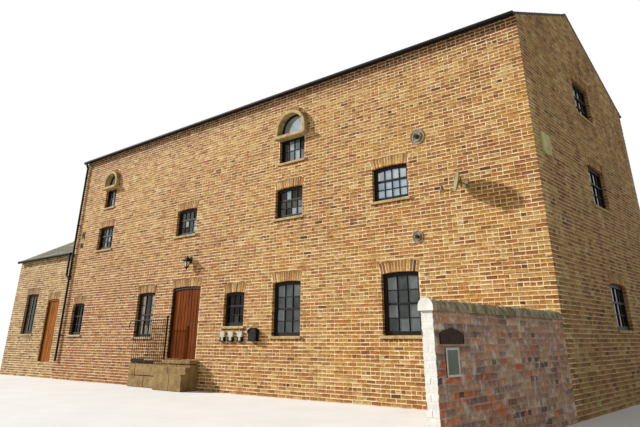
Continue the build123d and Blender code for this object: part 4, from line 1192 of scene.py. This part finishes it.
# Dark lower halves of the wall boxes, and slats over the vents
covers = Build()
for x, width in ((0.0, 0.17), (0.32, 0.18), (0.675, 0.17)):
    for side in (-1, 1):
        outline = centred(x + side * (width / 2 - 0.022), 0.024, 1.189, 1.31)
        covers.prism(front_wall, outline, 0.001, 0.064, bevel=0.004)
    covers.prism(front_wall, centred(x, width / 2 + 0.002, 1.189, 1.225), 0.001, 0.063)
for x, z, width, height in ((-3.848, 0.671, 0.65, 0.096), (-3.25, 0.642, 0.44, 0.044)):
    count = round(height / 0.022)
    for index in range(count):
        low = z - height / 2 + index * height / count + 0.003
        outline = centred(x, width / 2, low, low + 0.012)
        covers.prism(front_wall, outline, 0.014, 0.021, bevel=0.003)
covers.make("box_and_vent_covers", BLACK_IRON, "black_metal")

# Collars on the downpipes
collars = Build()
for x, z in ((-8.76, 1.41), (-8.76, 3.39), (-8.76, 5.23), (-8.76, 7.06), (-8.99, 3.72)):
    collars.tube([(x, -0.24, z - 0.025), (x, -0.24, z + 0.025)], [0.046, 0.046])
collars.make("pipe_collars", PIPE_IRON, "black_iron")

# Dish on its mast and bracket, with the receiver held out before it
DISH_X = 7.355
DISH_Z = 4.205
dish = Build()
seat = Vector((DISH_X, -0.40, DISH_Z))
facing_out = Vector((-0.75, -0.60, 0.2)).normalized()
dish_up = (Vector((0, 0, 1)) - facing_out * facing_out.z).normalized()
hub = seat + facing_out * 0.05
bowl = [(0.02, 0.0), (0.08, 0.006), (0.16, 0.022), (0.23, 0.05), (0.242, 0.058), (0.245, 0.052)]
bowl += [(0.232, 0.042), (0.16, 0.014), (0.08, -0.002), (0.02, -0.006)]
dish.tube([hub + facing_out * lift for reach, lift in bowl], [reach for reach, lift in bowl], 28)
receiver = hub - dish_up * 0.22 + facing_out * 0.33
half_mast = Vector((0, 0, 0.1))
for start, end, *radii in (
    (hub - dish_up * 0.225 + facing_out * 0.04, receiver, 0.009, 0.009),
    (receiver - dish_up * 0.01, receiver + dish_up * 0.07, 0.03, 0.024),
    (seat - half_mast, seat + half_mast, 0.016, 0.016),
    (seat, hub + facing_out * 0.004, 0.03, 0.03),
    (seat, Vector((DISH_X, FRONT + 0.001, DISH_Z)), 0.014, 0.014),
):
    dish.tube([start, end], radii)
bracket = centred(DISH_X, 0.05, DISH_Z - 0.08, DISH_Z + 0.08)
dish.prism(front_wall, bracket, 0.0, 0.01, bevel=0.002)
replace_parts(dish.make("dish_and_bracket", DISH_METAL, "grey_metal"), "satellite_dish")

# Pale frame of the lower plate on the yard wall, and a raised edge on the upper one
rim = Build()
for span in (
    (-4.34, -4.02, 0.83, 0.855), (-4.34, -4.02, 1.125, 1.15), (-4.34, -4.312, 0.855, 1.125),
    (-4.048, -4.02, 0.855, 1.125),
):
    rim.prism(right_gable, upright(*span), 0.0, 0.02, bevel=0.003)
rim.make("notice_frame", WHITE_PAINT, "plate")
panel = Build()
panel.prism(right_gable, upright(-4.312, -4.048, 0.855, 1.125), 0.014, 0.0165)
panel.make("notice_panel", NOTICE, "plate")
edge = Build()
for span in (
    (-4.45, -3.86, 1.19, 1.205), (-4.45, -4.435, 1.205, 1.305), (-3.875, -3.86, 1.205, 1.305)
):
    edge.prism(right_gable, upright(*span), 0.014, 0.021, bevel=0.003)
crown = [(-4.25, 1.325), (-4.06, 1.325), (-4.09, 1.362), (-4.155, 1.378), (-4.22, 1.362)]
edge.prism(right_gable, crown, 0.0, 0.016, bevel=0.003)
edge.make("name_plate_edge", PLATE_METAL, "plate")

# A faded case on the gable beside the front corner
case = Build()
outline = [
    (0.15, 4.70), (0.26, 4.655), (0.49, 4.655), (0.60, 4.70), (0.60, 5.09), (0.57, 5.12),
    (0.18, 5.12), (0.15, 5.09),
]
case.prism(right_gable, outline, -0.001, 0.056, bevel=0.012)
case.make("gable_case", FADED_CASE, "pale_metal")

# Floor: paler where the camera sees it, so that little of its colour falls on the walls
FLOOR_REACH = 90
floor_mesh = bpy.data.meshes.new("floor")
corners = [(a * FLOOR_REACH, b * FLOOR_REACH, -0.002) for a, b in SQUARE]
floor_mesh.from_pydata(corners, [], [(0, 1, 2, 3)])
floor_material = bpy.data.materials.new("floor")
floor_material.use_nodes = True
tree = floor_material.node_tree
place = add_node(tree, "ShaderNodeTexCoord").outputs["Object"]
grain = spread(tree, noise(tree, place, 0.8), 0.3, 0.7)
seen = add_node(tree, "ShaderNodeLightPath").outputs["Is Camera Ray"]
far = mix(tree, grain, linear(188, 186, 180), linear(196, 194, 188))
near = mix(tree, grain, linear(226, 224, 218), linear(236, 234, 228))
shader = tree.nodes["Principled BSDF"]
put(tree, shader.inputs["Base Color"], mix(tree, seen, far, near))
put(tree, shader.inputs["Roughness"], 0.95)
floor_mesh.materials.append(floor_material)
floor = add_object("floor", floor_mesh)
floor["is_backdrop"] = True

# Low sun from the left front, and a dim sky that shows white behind the house
sun_data = bpy.data.lights.new("key", "SUN")
sun_data.energy = 5.6
sun_data.angle = radians(3)
sun = add_object("key", sun_data)
sun.rotation_euler = Vector((0.84, 0.36, -0.40)).to_track_quat("-Z", "Y").to_euler()
world = bpy.data.worlds.new("studio")
bpy.context.scene.world = world
world.use_nodes = True
tree = world.node_tree
sky = tree.nodes["Background"]
put(tree, sky.inputs["Color"], (0.88, 0.93, 1.0, 1))
put(tree, sky.inputs["Strength"], 0.38)
white = add_node(tree, "ShaderNodeBackground", Color=(1, 1, 1, 1), Strength=1.0)
path = add_node(tree, "ShaderNodeLightPath")
seen = path.outputs["Is Camera Ray"]
for ray in ("Is Glossy Ray", "Is Transmission Ray"):
    either = tree.nodes.new("ShaderNodeMath")
    either.operation = "ADD"
    either.use_clamp = True
    put(tree, either.inputs[0], seen)
    put(tree, either.inputs[1], path.outputs[ray])
    seen = either.outputs[0]
chooser = tree.nodes.new("ShaderNodeMixShader")
for index, socket in enumerate((seen, sky.outputs[0], white.outputs[0])):
    put(tree, chooser.inputs[index], socket)
put(tree, tree.nodes["World Output"].inputs["Surface"], chooser.outputs[0])

# Camera at the photograph's place
camera_data = bpy.data.cameras.new("camera")
camera_data.sensor_width = 36
camera_data.lens = 32.12
camera_data.shift_x = -0.0094
camera_data.shift_y = -0.193
camera_data.clip_end = 400
camera = add_object("camera", camera_data)
camera.location = (12.6465, -10.990, 1.236)
camera.rotation_euler = (radians(113.64), 0, radians(40.1))
bpy.context.scene.camera = camera
bpy.context.scene.view_settings.view_transform = "Standard"

low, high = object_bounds()
{"cad": [list(cad_low), list(cad_high)], "visual": [list(low), list(high)]}
